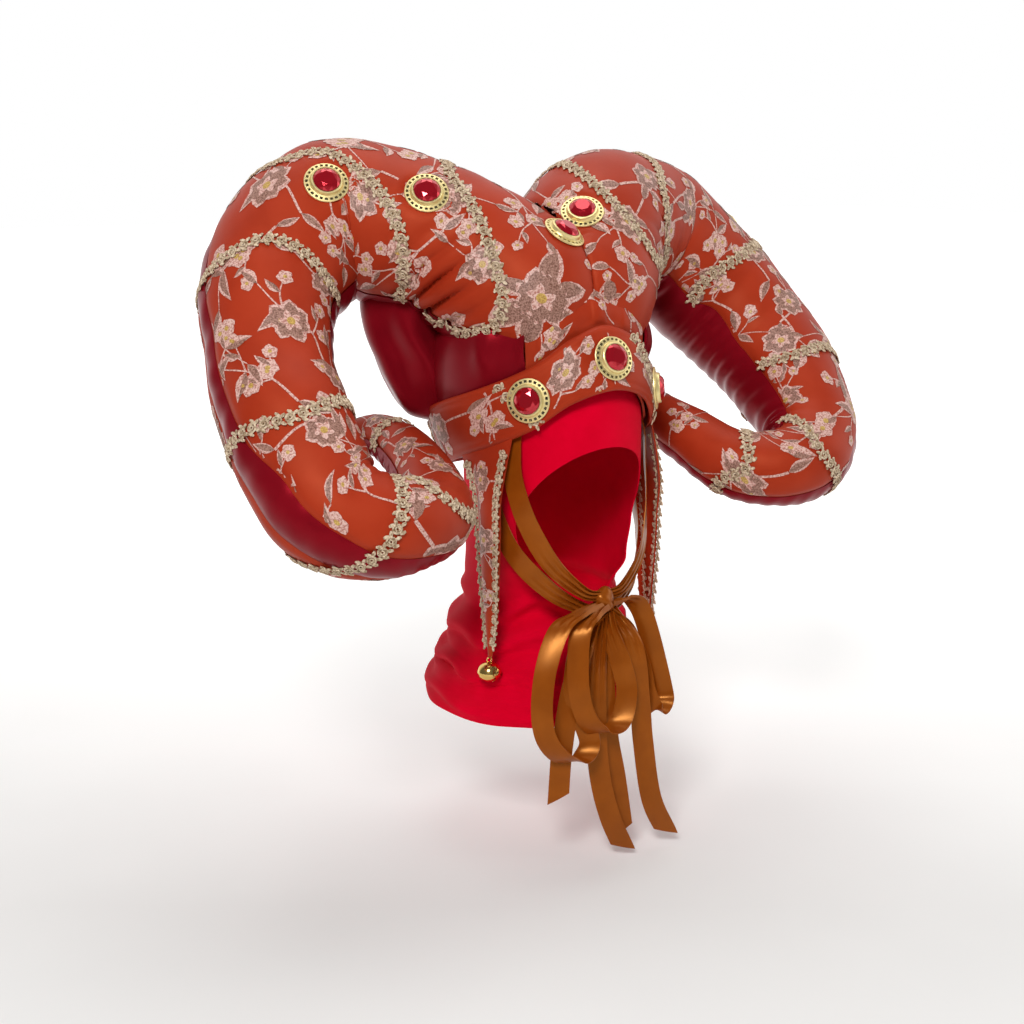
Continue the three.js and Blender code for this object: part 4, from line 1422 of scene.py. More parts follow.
@dataclass
class Cap:
    """The cap: a pleated brocade front, a gathered satin back, two pouches and a padded brow band."""

    looks: Looks
    lace: Lace
    half_width_mm: float = 88.0
    half_length_mm: float = 107.0
    top_mm: Pair = (12.0, 74.0)
    front_degrees: float = 52.0
    hem_share: float = 0.2
    top_share: float = 0.97
    cloth_columns: tuple[int, int] = (120, 260)
    cloth_rows: int = 60
    cloth_thick: float = 0.0022
    pleats: int = 11
    pleat_mm: float = 2.2
    gathers: int = 8
    gather_mm: float = 5.5
    gap_mm: float = 0.7
    band_mm: float = 8.0
    band_edge_mm: float = 1.5
    band_front: float = 0.8
    band_faces: tuple[int, int] = (220, 40)
    stitch_mm: float = 1.1
    stitch_at: Pair = (0.13, 0.87)
    stitch_width: float = 0.028
    seat_gap: float = 0.00035
    pouch_faces: tuple[int, int] = (72, 48)
    pouch_folds: int = 5
    pouch_fold: float = 0.1
    lace_steps: int = 40
    lace_sunk_mm: float = 0.2
    band_sprays: int = 11
    band_chart_mm: Pair = (100.0, 58.0)
    front_chart_mm: Pair = (95.0, 110.0)
    flower_seed: int = 5

    def band_value(self, angle: float, column: int) -> float:
        """Returns a column of the band's table at an angle in degrees, either way from the front."""
        return smooth_at(BAND_ROWS, abs((angle + 180) % 360 - 180), column)

    def surface(self, angle: float, share: float, grow: float) -> Vector:
        """Finds a point on the cap.

        Args:
            angle: the angle from the front in degrees.
            share: the share of the way from the band to the top.
            grow: the height above the plain cap in millimetres.

        Returns:
            The point in metres.
        """
        turn = math.radians(angle)
        swell = self.band_value(angle, 4) * math.sin(math.pi * min(1.0, share * 1.6))
        inward = max(0.0, math.cos(share * math.pi / 2)) ** 0.75
        reach = swell + grow - self.band_value(angle, 3)
        back, up = self.top_mm
        point = Vector((
            (self.half_width_mm + reach) * inward * math.sin(turn),
            back * (1 - inward) - (self.half_length_mm + reach) * inward * math.cos(turn),
            lerp(self.band_value(angle, 2), up + grow, math.sin(share * math.pi / 2)),
        ))
        return point * UNIT

    def hem(self, angle: float, share: float) -> Vector:
        """Finds a point of the cap's wall inside the band.

        Args:
            angle: the angle from the front in degrees.
            share: 0 at the hem, 1 at the band's upper edge.

        Returns:
            The point in metres.
        """
        turn = math.radians(angle)
        low = Vector((
            self.half_width_mm * math.sin(turn),
            -self.half_length_mm * math.cos(turn),
            self.band_value(angle, 1) + 4,
        ))
        return (low * UNIT).lerp(self.surface(angle, 0, 0), share)

    def panel(
        self,
        name: str,
        angles: Pair,
        columns: int,
        look: Material,
        slot: str,
        folds: Callable[[float, float], float],
    ) -> None:
        """Builds one panel of the cap.

        Args:
            name: the part's node.
            angles: its first and last angle from the front.
            columns: the number of faces across.
            look: its material.
            slot: its material slot.
            folds: gives the height of the folds at an angle and a share.
        """
        maker = MeshMaker()

        def place(across: float, along: float) -> Vector:
            """Returns a point of the panel, which starts with the wall inside the band."""
            angle = lerp(angles[0], angles[1], across)
            if along < self.hem_share:
                return self.hem(angle, along / self.hem_share)
            share = (along - self.hem_share) / (1 - self.hem_share) * self.top_share
            return self.surface(angle, share, folds(angle, share))

        maker.patch(place, columns, self.cloth_rows)
        maker.close(SHEET_JOIN)
        maker.sheet(self.cloth_thick, f"{name}_cloth", look, slot, name)

    def pleat(self, angle: float, share: float) -> float:
        """Shapes the pleats that run up from the band at the front.

        Args:
            angle: the angle from the front.
            share: the share of the way to the top.

        Returns:
            The height in millimetres.
        """
        drift = 2 * noise.noise(Vector((angle * 0.03, share * 2, 0)))
        wave = math.cos(math.radians(angle * self.pleats) + drift)
        ridge = math.copysign(abs(wave) ** 0.6, wave)
        return self.pleat_mm * ridge * max(0.0, 1 - 1.6 * share) * ease(share * 12)

    def gather(self, angle: float, share: float) -> float:
        """Shapes the gathers of the satin back.

        Args:
            angle: the angle from the front.
            share: the share of the way to the top.

        Returns:
            The height in millimetres.
        """
        drift = 5.0 * noise.noise(Vector((angle * 0.02, share * 1.4, 4)))
        wave = math.cos(math.radians(angle * self.gathers) + drift + 3 * share)
        return self.gather_mm * (0.5 + 0.5 * wave) ** 2 * ease(share * 6) * max(0.0, 1 - 0.7 * share)

    def band_point(self, angle: float, height: float, depth: float) -> Vector:
        """Finds a point of the brow band.

        Args:
            angle: the angle from the front in degrees.
            height: the share of the way up the band.
            depth: the distance out from its inner face in millimetres.

        Returns:
            The point in metres.
        """
        turn = math.radians(angle)
        reach = self.pleat_mm + self.gap_mm - self.band_value(angle, 3) * height + depth
        point = Vector((
            (self.half_width_mm + reach) * math.sin(turn),
            -(self.half_length_mm + reach) * math.cos(turn),
            lerp(self.band_value(angle, 1), self.band_value(angle, 2), height),
        ))
        return point * UNIT

    def band_depth(self, angle: float, height: float) -> float:
        """Shapes the band's padded face, with a line of stitching near each edge.

        Args:
            angle: the angle from the front.
            height: the share of the way up.

        Returns:
            The depth in millimetres.
        """
        side = abs(2 * height - 1)
        full = (1 - side**5) ** 0.5
        stitch = self.stitch_mm * sum(bump(height - line, self.stitch_width) for line in self.stitch_at)
        lump = 0.7 * noise.noise(Vector((angle * 0.06, height * 3, 7)))
        edge = self.band_edge_mm
        return edge + (self.band_mm - edge) * full - stitch * full + lump * full

    def band(self) -> None:
        """Builds the padded brow band."""
        maker = MeshMaker()

        def place(across: float, along: float) -> Vector:
            """Returns a point of the band: up its front, then down its back."""
            angle = lerp(-180, 180, across)
            if along <= self.band_front:
                height = 0.5 - 0.5 * math.cos(math.pi * along / self.band_front)
                return self.band_point(angle, height, self.band_depth(angle, height))
            height = 1 - (along - self.band_front) / (1 - self.band_front)
            return self.band_point(angle, height, self.band_edge_mm * abs(2 * height - 1) ** 4)

        maker.patch(place, *self.band_faces)
        maker.close(WRAP_JOIN)
        piece = maker.piece("brow_band_brocade", [self.looks.brocade], "brocade", ["brow_band"])

    def band_seat(self, name: str, angle: float) -> Seat:
        """Finds the seat of a jewel on the band.

        Args:
            name: the jewel's name.
            angle: the angle from the front.

        Returns:
            The seat.
        """
        point = self.band_point(angle, 0.5, self.band_mm)
        above = self.band_point(angle, 0.8, self.band_mm) - point
        along = self.band_point(angle + 2, 0.5, self.band_mm) - point
        normal = along.cross(above).normalized()
        if normal.dot(point) < 0:
            normal.negate()
        return Seat(f"band_{name}", point + normal * self.seat_gap, normal)

    def pouch(self, side: Side) -> None:
        """Builds the satin pouch under a horn.

        Args:
            side: its side.
        """
        maker = MeshMaker()
        curve = Curve(PUFF_ROWS)

        def place(across: float, along: float) -> Vector:
            """Returns a point of the pouch, with slack folds that run up it."""
            row = curve.at(along * curve.last)
            turn = across * TURN
            drift = 3.5 * noise.noise(Vector((math.cos(turn), math.sin(turn), along * 2.2 + side.value)))
            wave = math.cos(turn * self.pouch_folds + drift + 2 * along)
            fold = 1 + self.pouch_fold * wave * math.sin(math.pi * along) ** 0.5
            reach = max(0.05, row[3]) * fold * (1.0 if 0 < along < 1 else 0.0)
            point = Vector((row[1] + reach * math.cos(turn), row[2] + reach * math.sin(turn), row[0]))
            return point * side.mirror * UNIT

        maker.patch(place, *self.pouch_faces)
        maker.close(POLE_JOIN)
        piece = maker.piece(
            f"side_puff_{side.label}_satin", [self.looks.satin], "satin", [f"side_puff_{side.label}"]
        )

    def flowers(self) -> None:
        """Scatters woven sprays over the band and the front of the cap."""
        chance = random.Random(self.flower_seed)
        maker = MeshMaker()
        spray = Spray(maker, chance)

        def band_chart(angle: float) -> Chart:
            """Returns the chart of the band round an angle."""

            def place(along: float, across: float, lift: float) -> Vector | None:
                """Returns a point of the band, or None at its edges."""
                radius, tall = self.band_chart_mm
                height = 0.5 + across / tall
                if not 0.05 < height < 0.95:
                    return None
                turn = angle + math.degrees(along / radius)
                return self.band_point(turn, height, self.band_depth(turn, height) + lift)

            return place

        def front_chart(angle: float, share: float) -> Chart:
            """Returns the chart of the cap's front round a point."""

            def place(along: float, across: float, lift: float) -> Vector | None:
                """Returns a point of the front, or None past its edges."""
                radius, tall = self.front_chart_mm
                here, up = angle + math.degrees(along / radius), share + across / tall
                if abs(here) > self.front_degrees - 1 or not 0.01 < up < 0.7:
                    return None
                return self.surface(here, up, self.pleat(here, up) + lift)

            return place

        for index in range(self.band_sprays):
            spray.draw(band_chart(-165 + index * 33 + chance.uniform(-4, 4)), index % 2 == 0, 0.85)
        for angle, share in FRONT_SPRAYS:
            spray.draw(front_chart(angle, share), False, 0.8)
        maker.piece("cap_flowers", self.looks.weft, "brocade")

    def band_lace(self) -> None:
        """Lays short lengths of lace slanting over the band, where the rings of the horns run on."""
        maker = MeshMaker()
        for start, end in BAND_LACE:
            line = []
            for step in range(self.lace_steps + 1):
                angle, height = (lerp(low, high, step / self.lace_steps) for low, high in zip(start, end))
                depth = self.band_depth(angle, height)
                point = self.band_point(angle, height, depth - self.lace_sunk_mm)
                beside = self.band_point(angle + 1, height, depth)
                above = self.band_point(angle, height + 0.05, depth)
                line.append((point, (beside - point).cross(above - point).normalized()))
            self.lace.lay(maker, line)
        maker.piece("brow_band_lace", [self.looks.lace], "brocade")

    def build(self) -> None:
        """Builds the whole cap."""
        front, (few, many) = self.front_degrees, self.cloth_columns
        self.panel("crown_front", (-front, front), few, self.looks.brocade, "brocade", self.pleat)
        self.panel("crown_back", (front, 360 - front), many, self.looks.satin, "satin", self.gather)
        self.band()
        for side in Side:
            self.pouch(side)
        self.band_lace()
        self.flowers()


# Flaps and bells

# The ear flaps: height, half width, place out and back, and how far the edges curl in.
FLAP_ROWS = (
    (-140, 23, 98, -38, 6), (-180, 19, 99, -40, 8), (-220, 15, 98, -42, 8), (-260, 10, 97, -43, 6),
    (-297, 4, 95, -43, 2),
)


@dataclass
class EarFlap:
    """An ear flap of brocade with lace edges, and the bell at its tip."""

    side: Side
    looks: Looks
    lace: Lace
    cap: Cap
    angles: Pair = (57.0, 92.0)
    seat_mm: Pair = (0.04, 3.4)
    faces: tuple[int, int] = (24, 90)
    thickness_mm: float = 2.4
    thick_share: float = 0.6
    ripple_mm: float = 0.8
    braid_at: float = 0.82
    braid_span: Pair = (0.03, 0.94)
    braid_steps: int = 80
    braid_lift_mm: float = 0.5
    chart_mm: float = 190.0
    chart_half_mm: Pair = (24.0, 8.0)
    sprays_at: tuple[float, ...] = (0.14, 0.42, 0.7)
    spray_size: float = 0.6
    flower_seed: int = 3
    bell_mm: float = 11.5
    bell_flat: float = 0.86
    bell_thick: float = 0.0008
    bell_drop_mm: Pair = (1.2, 5.8)
    slot_half: float = 0.0008
    slot_inside: float = 0.00079
    slot_from: float = -0.3
    rim: Pair = (0.0005, 0.0008)
    loop_mm: Pair = (2.6, 0.7)
    loop_up_mm: float = 2.2

    def point(self, share: float, along: float, lift: float) -> Vector:
        """Finds a point on the flap's outer face.

        Args:
            share: from -1 at the front edge to 1 at the back edge.
            along: 0 at the band, 1 at the tip.
            lift: the height above the face in millimetres.

        Returns:
            The point in metres.
        """
        seat = self.cap.band_point(lerp(*self.angles, (share + 1) / 2), *self.seat_mm) / UNIT
        rows = [(seat.x, seat.y, seat.z)]
        for up, half, out, back, curl in FLAP_ROWS:
            rows.append((out - curl * share * share, back + half * share, up))
        spot = Curve(tuple(rows)).at(along * len(FLAP_ROWS))
        ripple = self.ripple_mm * math.sin(along * 11 + share * 1.5) * share
        return Vector((self.side.value * (spot.x + lift + ripple), spot.y, spot.z)) * UNIT

    def cloth(self) -> None:
        """Builds the flap, its lace edges and its flowers."""
        maker = MeshMaker()
        maker.patch(lambda across, along: self.point(2 * across - 1, along, 0), *self.faces)
        maker.close(SHEET_JOIN)
        area = maker.area()
        maker.thicken(-self.thickness_mm * UNIT * self.side.value * self.thick_share)
        name = f"ear_flap_{self.side.label}"
        flap = maker.piece(f"{name}_brocade", [self.looks.brocade], "brocade", [name])
        trim = MeshMaker()
        out = Vector((self.side.value, 0.0, 0.0))
        start, span = self.braid_span
        for edge in (-self.braid_at, self.braid_at):
            shares = [start + span * step / self.braid_steps for step in range(self.braid_steps + 1)]
            self.lace.lay(trim, [(self.point(edge, share, self.braid_lift_mm), out) for share in shares])
        braid = trim.piece(f"{name}_lace", [self.looks.lace], "brocade")
        petals = MeshMaker()
        spray = Spray(petals, random.Random(self.flower_seed))

        def chart(middle: float) -> Chart:
            """Returns the chart of the flap round a point of its middle line."""

            def place(along: float, across: float, lift: float) -> Vector | None:
                """Returns a point of the flap, or None under the lace and past the ends."""
                here = middle + along / self.chart_mm
                share = across / max(6.0, lerp(*self.chart_half_mm, here))
                if not 0.02 < here < 0.9 or abs(share) > 0.8:
                    return None
                return self.point(share, here, lift)

            return place

        for middle in self.sprays_at:
            spray.draw(chart(middle), middle < 0.5, self.spray_size)
        woven = petals.piece(f"{name}_flowers", self.looks.weft, "brocade")

    def bell(self) -> None:
        """Builds the jingle bell: a thin shell with a cross slot below and a loop on top."""
        maker = MeshMaker()
        radius = self.bell_mm * UNIT
        up, _, out, back, _ = FLAP_ROWS[-1]
        inward, drop = self.bell_drop_mm
        top = self.bell_mm * self.bell_flat
        middle = Vector((self.side.value * (out - inward), back, up - top - drop)) * UNIT
        bmesh.ops.create_uvsphere(maker.mesh, u_segments=32, v_segments=20, radius=radius)
        for axis in (Vector((1, 0, 0)), Vector((0, 1, 0))):
            for edge in (-self.slot_half, self.slot_half):
                everything = list(maker.mesh.verts) + list(maker.mesh.edges) + list(maker.mesh.faces)
                bmesh.ops.bisect_plane(maker.mesh, geom=everything, plane_co=axis * edge, plane_no=axis)
        slots = []
        for face in maker.mesh.faces:
            spot = face.calc_center_median()
            if spot.z < self.slot_from * radius and min(abs(spot.x), abs(spot.y)) < self.slot_inside:
                slots.append(face)
        bmesh.ops.delete(maker.mesh, geom=slots, context="FACES")
        rim_height, rim_width = self.rim
        for vert in maker.mesh.verts:
            vert.co.z *= self.bell_flat
            vert.co += vert.co.normalized() * rim_height * bump(vert.co.z, rim_width)
        maker.thicken(self.bell_thick)

        def loop(across: float, along: float) -> Vector:
            """Returns a point of the wire loop on top."""
            turn, wind = along * TURN, across * TURN
            wide, wire = self.loop_mm
            reach = wide + wire * math.cos(wind)
            height = top + self.loop_up_mm + reach * math.sin(turn)
            return Vector((reach * math.cos(turn), wire * math.sin(wind), height)) * UNIT

        maker.patch(loop, 8, 20)
        bmesh.ops.translate(maker.mesh, verts=maker.mesh.verts, vec=middle)
        maker.close(SHEET_JOIN)
        name = f"bell_{self.side.label}"
        maker.piece(f"{name}_brass", [self.looks.bell], "gold", [name])

    def build(self) -> None:
        """Builds the flap and its bell."""
        self.cloth()
        self.bell()


# Ties

# The middle lines of the ribbons: out, back and up. The straps are those of the left side.
STRAPS = {
    "front": (
        (72, -51, -70), (76, -55, -92), (76, -58, -122), (69, -71, -162), (52, -88, -202), (24, -99, -230),
        (4, -100, -236),
    ),
    "back": (
        (81, -17, -84), (84, -18, -106), (82, -25, -142), (74, -50, -192), (50, -78, -228), (22, -92, -247),
        (4, -96, -250),
    ),
}
LOOPS = (
    (
        (-6, -102, -245), (-34, -109, -247), (-60, -114, -257), (-79, -121, -288), (-87, -126, -324),
        (-85, -130, -353), (-70, -133, -374), (-50, -134, -380), (-37, -132, -368), (-43, -126, -341),
        (-47, -119, -311), (-33, -111, -268), (-4, -103, -251),
    ),
    (
        (-2, -104, -246), (-22, -113, -250), (-40, -119, -262), (-47, -126, -300), (-46, -131, -328),
        (-38, -135, -348), (-23, -137, -357), (-4, -136, -350), (6, -131, -324), (3, -124, -297),
        (-1, -112, -270), (0, -105, -252),
    ),
    (
        (6, -102, -243), (24, -103, -242), (38, -105, -252), (47, -110, -280), (58, -118, -334),
        (56, -123, -348), (45, -125, -354), (38, -119, -336), (34, -114, -310), (20, -108, -270),
        (3, -103, -252),
    ),
)
TAILS = (
    ((-8, -101, -250), (-44, -114, -312), (-60, -120, -370), (-65, -121, -422)),
    (
        (-3, -102, -250), (-20, -118, -320), (-23, -123, -370), (-19, -125, -412), (-8, -126, -452),
        (9, -125, -488),
    ),
    ((0, -100, -250), (-8, -114, -320), (-7, -119, -370), (2, -120, -415), (13, -119, -474)),
    (
        (8, -101, -250), (19, -122, -282), (24, -128, -340), (28, -129, -381), (40, -128, -442),
        (60, -127, -483),
    ),
)


@dataclass
class Ties:
    """The satin ribbons: two on each side, a knot, loops and hanging ends."""

    looks: Looks
    width_mm: float = 20.0
    thickness_mm: float = 0.7
    faces_across: int = 14
    faces_per_row: int = 12
    fold_mm: float = 5.0
    hem_mm: float = 0.5
    strap_bow_mm: float = 0.6
    loop_bow_mm: float = 0.8
    tail_bow_mm: float = 0.9
    tail_slants_mm: Pair = (-6.0, 8.0)
    bunched: float = 0.6
    loop_across: Triple = (0.8, -0.6, 0.1)
    tail_across: Triple = (0.9, -0.4, 0.0)
    knot_mm: Triple = (11.0, 9.0, 15.0)
    knot_at: Pair = (-99.0, -243.0)
    knot_ridge: float = 0.06

    def ribbon(
        self,
        maker: MeshMaker,
        rows: Rows,
        across: Callable[[Vector, Vector], Vector],
        narrow: Callable[[float], float],
        curl: float,
        slant: float = 0.0,
    ) -> None:
        """Lays a ribbon along a curve.

        Args:
            maker: the mesh to add to.
            rows: the points of its middle line.
            across: the way its width lies at a point and a tangent.
            narrow: its share of the full width along its length.
            curl: how far its middle bows out, in millimetres.
            slant: how far its end is cut on the slant, in millimetres.
        """
        curve = Curve(rows)

        def place(share: float, along: float) -> Vector:
            """Returns a point of the ribbon, folded where it is drawn in."""
            position = along * curve.last
            point, tangent = curve.at(position), curve.tangent(position)
            width = square_to(tangent, across(point, tangent))
            normal = tangent.cross(width)
            half = self.width_mm / 2 * narrow(along)
            side = 2 * share - 1
            fold = (1 - narrow(along)) * self.fold_mm * math.cos(side * 9.0)
            bow = curl * (1 - side * side) + self.hem_mm * bump(abs(side) - 0.93, 0.05)
            spot = point + width * (side * half) + normal * (fold + bow)
            spot += tangent * (slant * side * ease((along - 0.8) * 5))
            return spot * UNIT

        maker.patch(place, self.faces_across, self.faces_per_row * curve.last)

    def straps(self) -> None:
        """Builds the four ties from the cap to the knot."""

        def outward(point: Vector, tangent: Vector) -> Vector:
            """Returns the way a strap's width lies, flat along the hood."""
            return tangent.cross(Vector((point.x, point.y * 0.8, 0.0)).normalized())

        def narrow(along: float) -> float:
            """Returns a strap's share of its width, half of it at the knot."""
            return 1 - 0.5 * ease((along - 0.55) / 0.4)

        for side in Side:
            for which, rows in STRAPS.items():
                maker = MeshMaker()
                mirrored = tuple((side.value * x, y, z) for x, y, z in rows)
                self.ribbon(maker, mirrored, outward, narrow, self.strap_bow_mm)
                maker.close(SHEET_JOIN)
                node = f"strap_{which}_{side.label}"
                thick = self.thickness_mm * UNIT
                maker.sheet(thick, f"{node}_ribbon", self.looks.ribbon, "ribbon", node)

    def bow(self) -> None:
        """Builds the knot, the loops and the hanging ends."""
        maker = MeshMaker()
        full = 1 - self.bunched
        for rows in LOOPS:
            self.ribbon(
                maker, rows, lambda _point, _tangent: Vector(self.loop_across),
                lambda along: self.bunched + full * ease(min(along, 1 - along) / 0.2), self.loop_bow_mm,
            )
        for index, rows in enumerate(TAILS):
            self.ribbon(
                maker, rows, lambda _point, _tangent: Vector(self.tail_across),
                lambda along: self.bunched + full * ease(along / 0.3), self.tail_bow_mm,
                self.tail_slants_mm[index % 2],
            )
        area = maker.area()
        maker.thicken(self.thickness_mm * UNIT)
        made = bmesh.ops.create_uvsphere(maker.mesh, u_segments=40, v_segments=28, radius=1.0)
        back, up = self.knot_at
        for vert in made["verts"]:
            ridge = 1 + self.knot_ridge * math.cos(5 * vert.co.z + 3 * vert.co.x)
            spot = Vector([part * size for part, size in zip(vert.co * ridge, self.knot_mm)])
            vert.co = (spot + Vector((0.0, back, up))) * UNIT
        piece = maker.piece("ribbon_bow_satin", [self.looks.ribbon], "ribbon", ["ribbon_bow"])

    def build(self) -> None:
        """Builds the ties."""
        self.straps()
        self.bow()


# Hood

# The hood, from its top to its hem: height, half width, front and back.
HOOD_ROWS = (
    (6, 30, -34, 40), (-6, 56, -70, 74), (-24, 72, -90, 92), (-42, 77, -96, 96),
    (-140, 78, -96.5, 96.5), (-180, 76, -95, 94), (-214, 75, -88, 96), (-240, 74, -68, 96),
    (-262, 79, -62, 100), (-286, 89, -72, 108), (-306, 97, -84, 118), (-318, 100, -87, 121),
    (-332, 112, -98, 128), (-344, 114, -99, 128), (-362, 123, -110, 134),
)
HOOD_UPWARDS = HOOD_ROWS[::-1]


@dataclass
class Hood:
    """The jersey hood: smooth above, bunched below, with an opening at the front."""

    looks: Looks
    opening_mm: Triple = (66.0, 80.0, -172.0)
    brow_mm: float = 10.0
    neck_mm: float = -232.0
    tuck_mm: float = 4.2
    slack_mm: float = 1.2
    sunk_mm: float = 1.5
    sag_mm: float = 4.0
    crease_mm: float = 7.0
    crease_at: Pair = (-322.0, 34.0)
    crease_width: float = 0.55
    near_edge: float = 1.3
    thick: float = 0.0016
    columns: int = 160
    rows: int = 150

    def point(self, turn: float, up: float) -> Vector:
        """Finds a point on the hood.

        Args:
            turn: the angle from the front.
            up: the height in millimetres.

        Returns:
            The point in metres.
        """
        half, front, back = (table_at(HOOD_UPWARDS, up, column) for column in (1, 2, 3))
        aside, ahead = math.sin(turn), math.cos(turn)
        brow = self.brow_mm * max(0.0, ahead) * ease((-30 - up) / 40) * ease((up + 215) / 70)
        drift = noise.noise(Vector((aside * 1.6, ahead * 1.6, up * 0.012)))
        low = ease((self.neck_mm - up) / 40)
        tuck = math.sin(up * 0.19 + 5 * drift + 1.2 * aside) * self.tuck_mm * low
        smooth = self.slack_mm * drift * (1 - low)
        level, spread = self.crease_at
        pinch = bump(up - level, spread) * (0.6 + 0.4 * noise.noise(Vector((aside, ahead, 3))))
        wave = math.sin(up * 0.2 + 2.6 * drift + 0.9 * math.sin(turn + 0.6))
        crease = self.crease_mm * pinch * bump(wave, self.crease_width)
        grow = tuck + smooth + brow - self.sunk_mm * low - crease
        middle = (front + back) / 2
        length = (back - front) / 2 + grow
        sag = self.sag_mm * low * noise.noise(Vector((aside * 1.2, ahead * 1.2, 9)))
        return Vector(((half + grow) * aside, middle - length * ahead, up + sag)) * UNIT

    def share(self, turn: float, up: float) -> float:
        """Tells where a point lies against the oval of the front opening.

        Args:
            turn: the angle from the front.
            up: the height in millimetres.

        Returns:
            Below 1 inside the oval, 1 on it and more outside.
        """
        half_width, half_height, level = self.opening_mm
        if abs(turn) > math.pi / 2:
            return 9.0
        return math.hypot(self.half(up) * math.sin(turn) / half_width, (up - level) / half_height)

    def half(self, up: float) -> float:
        """Returns the hood's half width at a height, both in millimetres."""
        return table_at(HOOD_UPWARDS, up, 1)

    def edge(self, turn: float, up: float) -> Vector:
        """Moves a point near the front opening onto its edge.

        Args:
            turn: the angle from the front.
            up: the height in millimetres.

        Returns:
            The point on the edge, in metres.
        """
        share, level = self.share(turn, up), self.opening_mm[2]
        height = level + (up - level) / share
        reach = self.half(up) * math.sin(turn) / share
        return self.point(math.asin(max(-1.0, min(1.0, reach / self.half(height)))), height)

    def build(self) -> None:
        """Builds the hood, open at the front and at the hem."""
        maker = MeshMaker()
        top, bottom = HOOD_ROWS[0][0], HOOD_ROWS[-1][0]
        made = bmesh.ops.create_grid(
            maker.mesh, x_segments=self.columns, y_segments=self.rows, size=0.5, calc_uvs=True
        )
        spots = {vert: (vert.co.x * TURN, lerp(bottom, top, vert.co.y + 0.5)) for vert in made["verts"]}
        inside = [vert for vert, spot in spots.items() if self.share(*spot) < 1]
        bmesh.ops.delete(maker.mesh, geom=inside, context="VERTS")
        for vert in inside:
            del spots[vert]
        for vert, spot in spots.items():
            near = vert.is_boundary and self.share(*spot) < self.near_edge
            vert.co = self.edge(*spot) if near else self.point(*spot)
        maker.close(WRAP_JOIN)
        maker.sheet(self.thick, "hood_jersey", self.looks.jersey, "knit", "hood")


# Jewels

# The turned profile of a setting: radius and height.
SETTING_PROFILE = (
    (0.0, 0.0), (19.8, 0.0), (20.5, 0.5), (20.5, 1.3), (20.0, 1.8), (19.2, 1.95), (16.5, 2.3), (15.4, 2.5),
    (14.9, 3.2), (14.4, 5.6), (13.9, 6.0), (12.8, 6.0), (12.65, 5.6), (12.65, 3.4), (0.0, 3.4),
)
# The corners of a stone, from its table down: count, share of its radius, height and turn in steps.
STONE_RINGS = (
    (8, 0.56, 10.0, 0.0), (8, 0.8, 8.7, 0.5), (16, 1.0, 6.2, 0.0), (16, 0.98, 5.6, 0.0), (8, 0.7, 3.8, 0.0),
)


@dataclass
class Jewel:
    """A pierced gold setting with a faceted red stone."""

    seat: Seat
    looks: Looks
    stone_mm: float = 12.3
    holes: int = 24
    pierced_mm: Pair = (16.5, 19.2)
    hole_edge: float = 0.0002
    hole_depth: float = 0.0012
    sharp_plate: float = 0.6
    sharp_glass: float = 0.01

    def setting(self) -> None:
        """Builds the setting: a turned dish whose rim has a ring of small square holes."""
        maker = MeshMaker()
        work = maker.mesh
        verts = [work.verts.new((radius * UNIT, 0.0, height * UNIT)) for radius, height in SETTING_PROFILE]
        edges = [work.edges.new(pair) for pair in zip(verts, verts[1:])]
        steps = self.holes * 3
        bmesh.ops.spin(
            work, geom=verts + edges, cent=(0, 0, 0), axis=(0, 0, 1), angle=TURN, steps=steps, use_merge=True
        )
        maker.close(SHEET_JOIN)
        inner, outer = self.pierced_mm
        pierced = []
        for face in work.faces:
            spot = face.calc_center_median()
            reach = math.hypot(spot.x, spot.y) / UNIT
            step = round(math.atan2(spot.y, spot.x) / TURN * steps - 0.5) % 3
            if inner < reach < outer and face.normal.z > 0.5 and step:
                pierced.append(face)
        bmesh.ops.inset_region(work, faces=pierced, thickness=self.hole_edge, depth=0.0, use_even_offset=True)
        # The holes are shallow recesses. Their floors take the second material, a near black painted shade
        # for the dark seen through real holes.
        made = bmesh.ops.extrude_discrete_faces(work, faces=pierced)
        for face in made["faces"]:
            face.material_index = 1
            bmesh.ops.translate(work, verts=face.verts, vec=-face.normal * self.hole_depth)
        bmesh.ops.transform(work, matrix=self.seat.matrix(), verts=work.verts)
        name = f"setting_{self.seat.name}"
        maker.piece(f"{name}_plate", [self.looks.gold, self.looks.gap], "gold", [name], self.sharp_plate)

    def stone(self) -> None:
        """Builds the stone, cut with a table, stars and kites."""
        maker = MeshMaker()
        work = maker.mesh
        for count, reach, height, offset in STONE_RINGS:
            for index in range(count):
                turn = (index + offset) * TURN / count
                radius = self.stone_mm * reach * UNIT
                work.verts.new((radius * math.cos(turn), radius * math.sin(turn), height * UNIT))
        bmesh.ops.convex_hull(work, input=work.verts)
        bmesh.ops.dissolve_limit(work, angle_limit=0.02, verts=work.verts, edges=work.edges)
        bmesh.ops.transform(work, matrix=self.seat.matrix(), verts=work.verts)
        name = f"stone_{self.seat.name}"
        maker.piece(f"{name}_glass", [self.looks.ruby], "ruby", [name], self.sharp_glass)

    def build(self) -> None:
        """Builds the jewel."""
        self.setting()
        self.stone()


# Stage

# The lights: name, place in metres, size and power.
LAMPS = (
    ("key", (-1.5, -1.6, 1.5), 0.7, 48.0),
    ("fill", (1.8, -1.2, 0.7), 1.2, 9.0),
    ("top", (0.2, 0.3, 2.2), 1.4, 16.0),
)


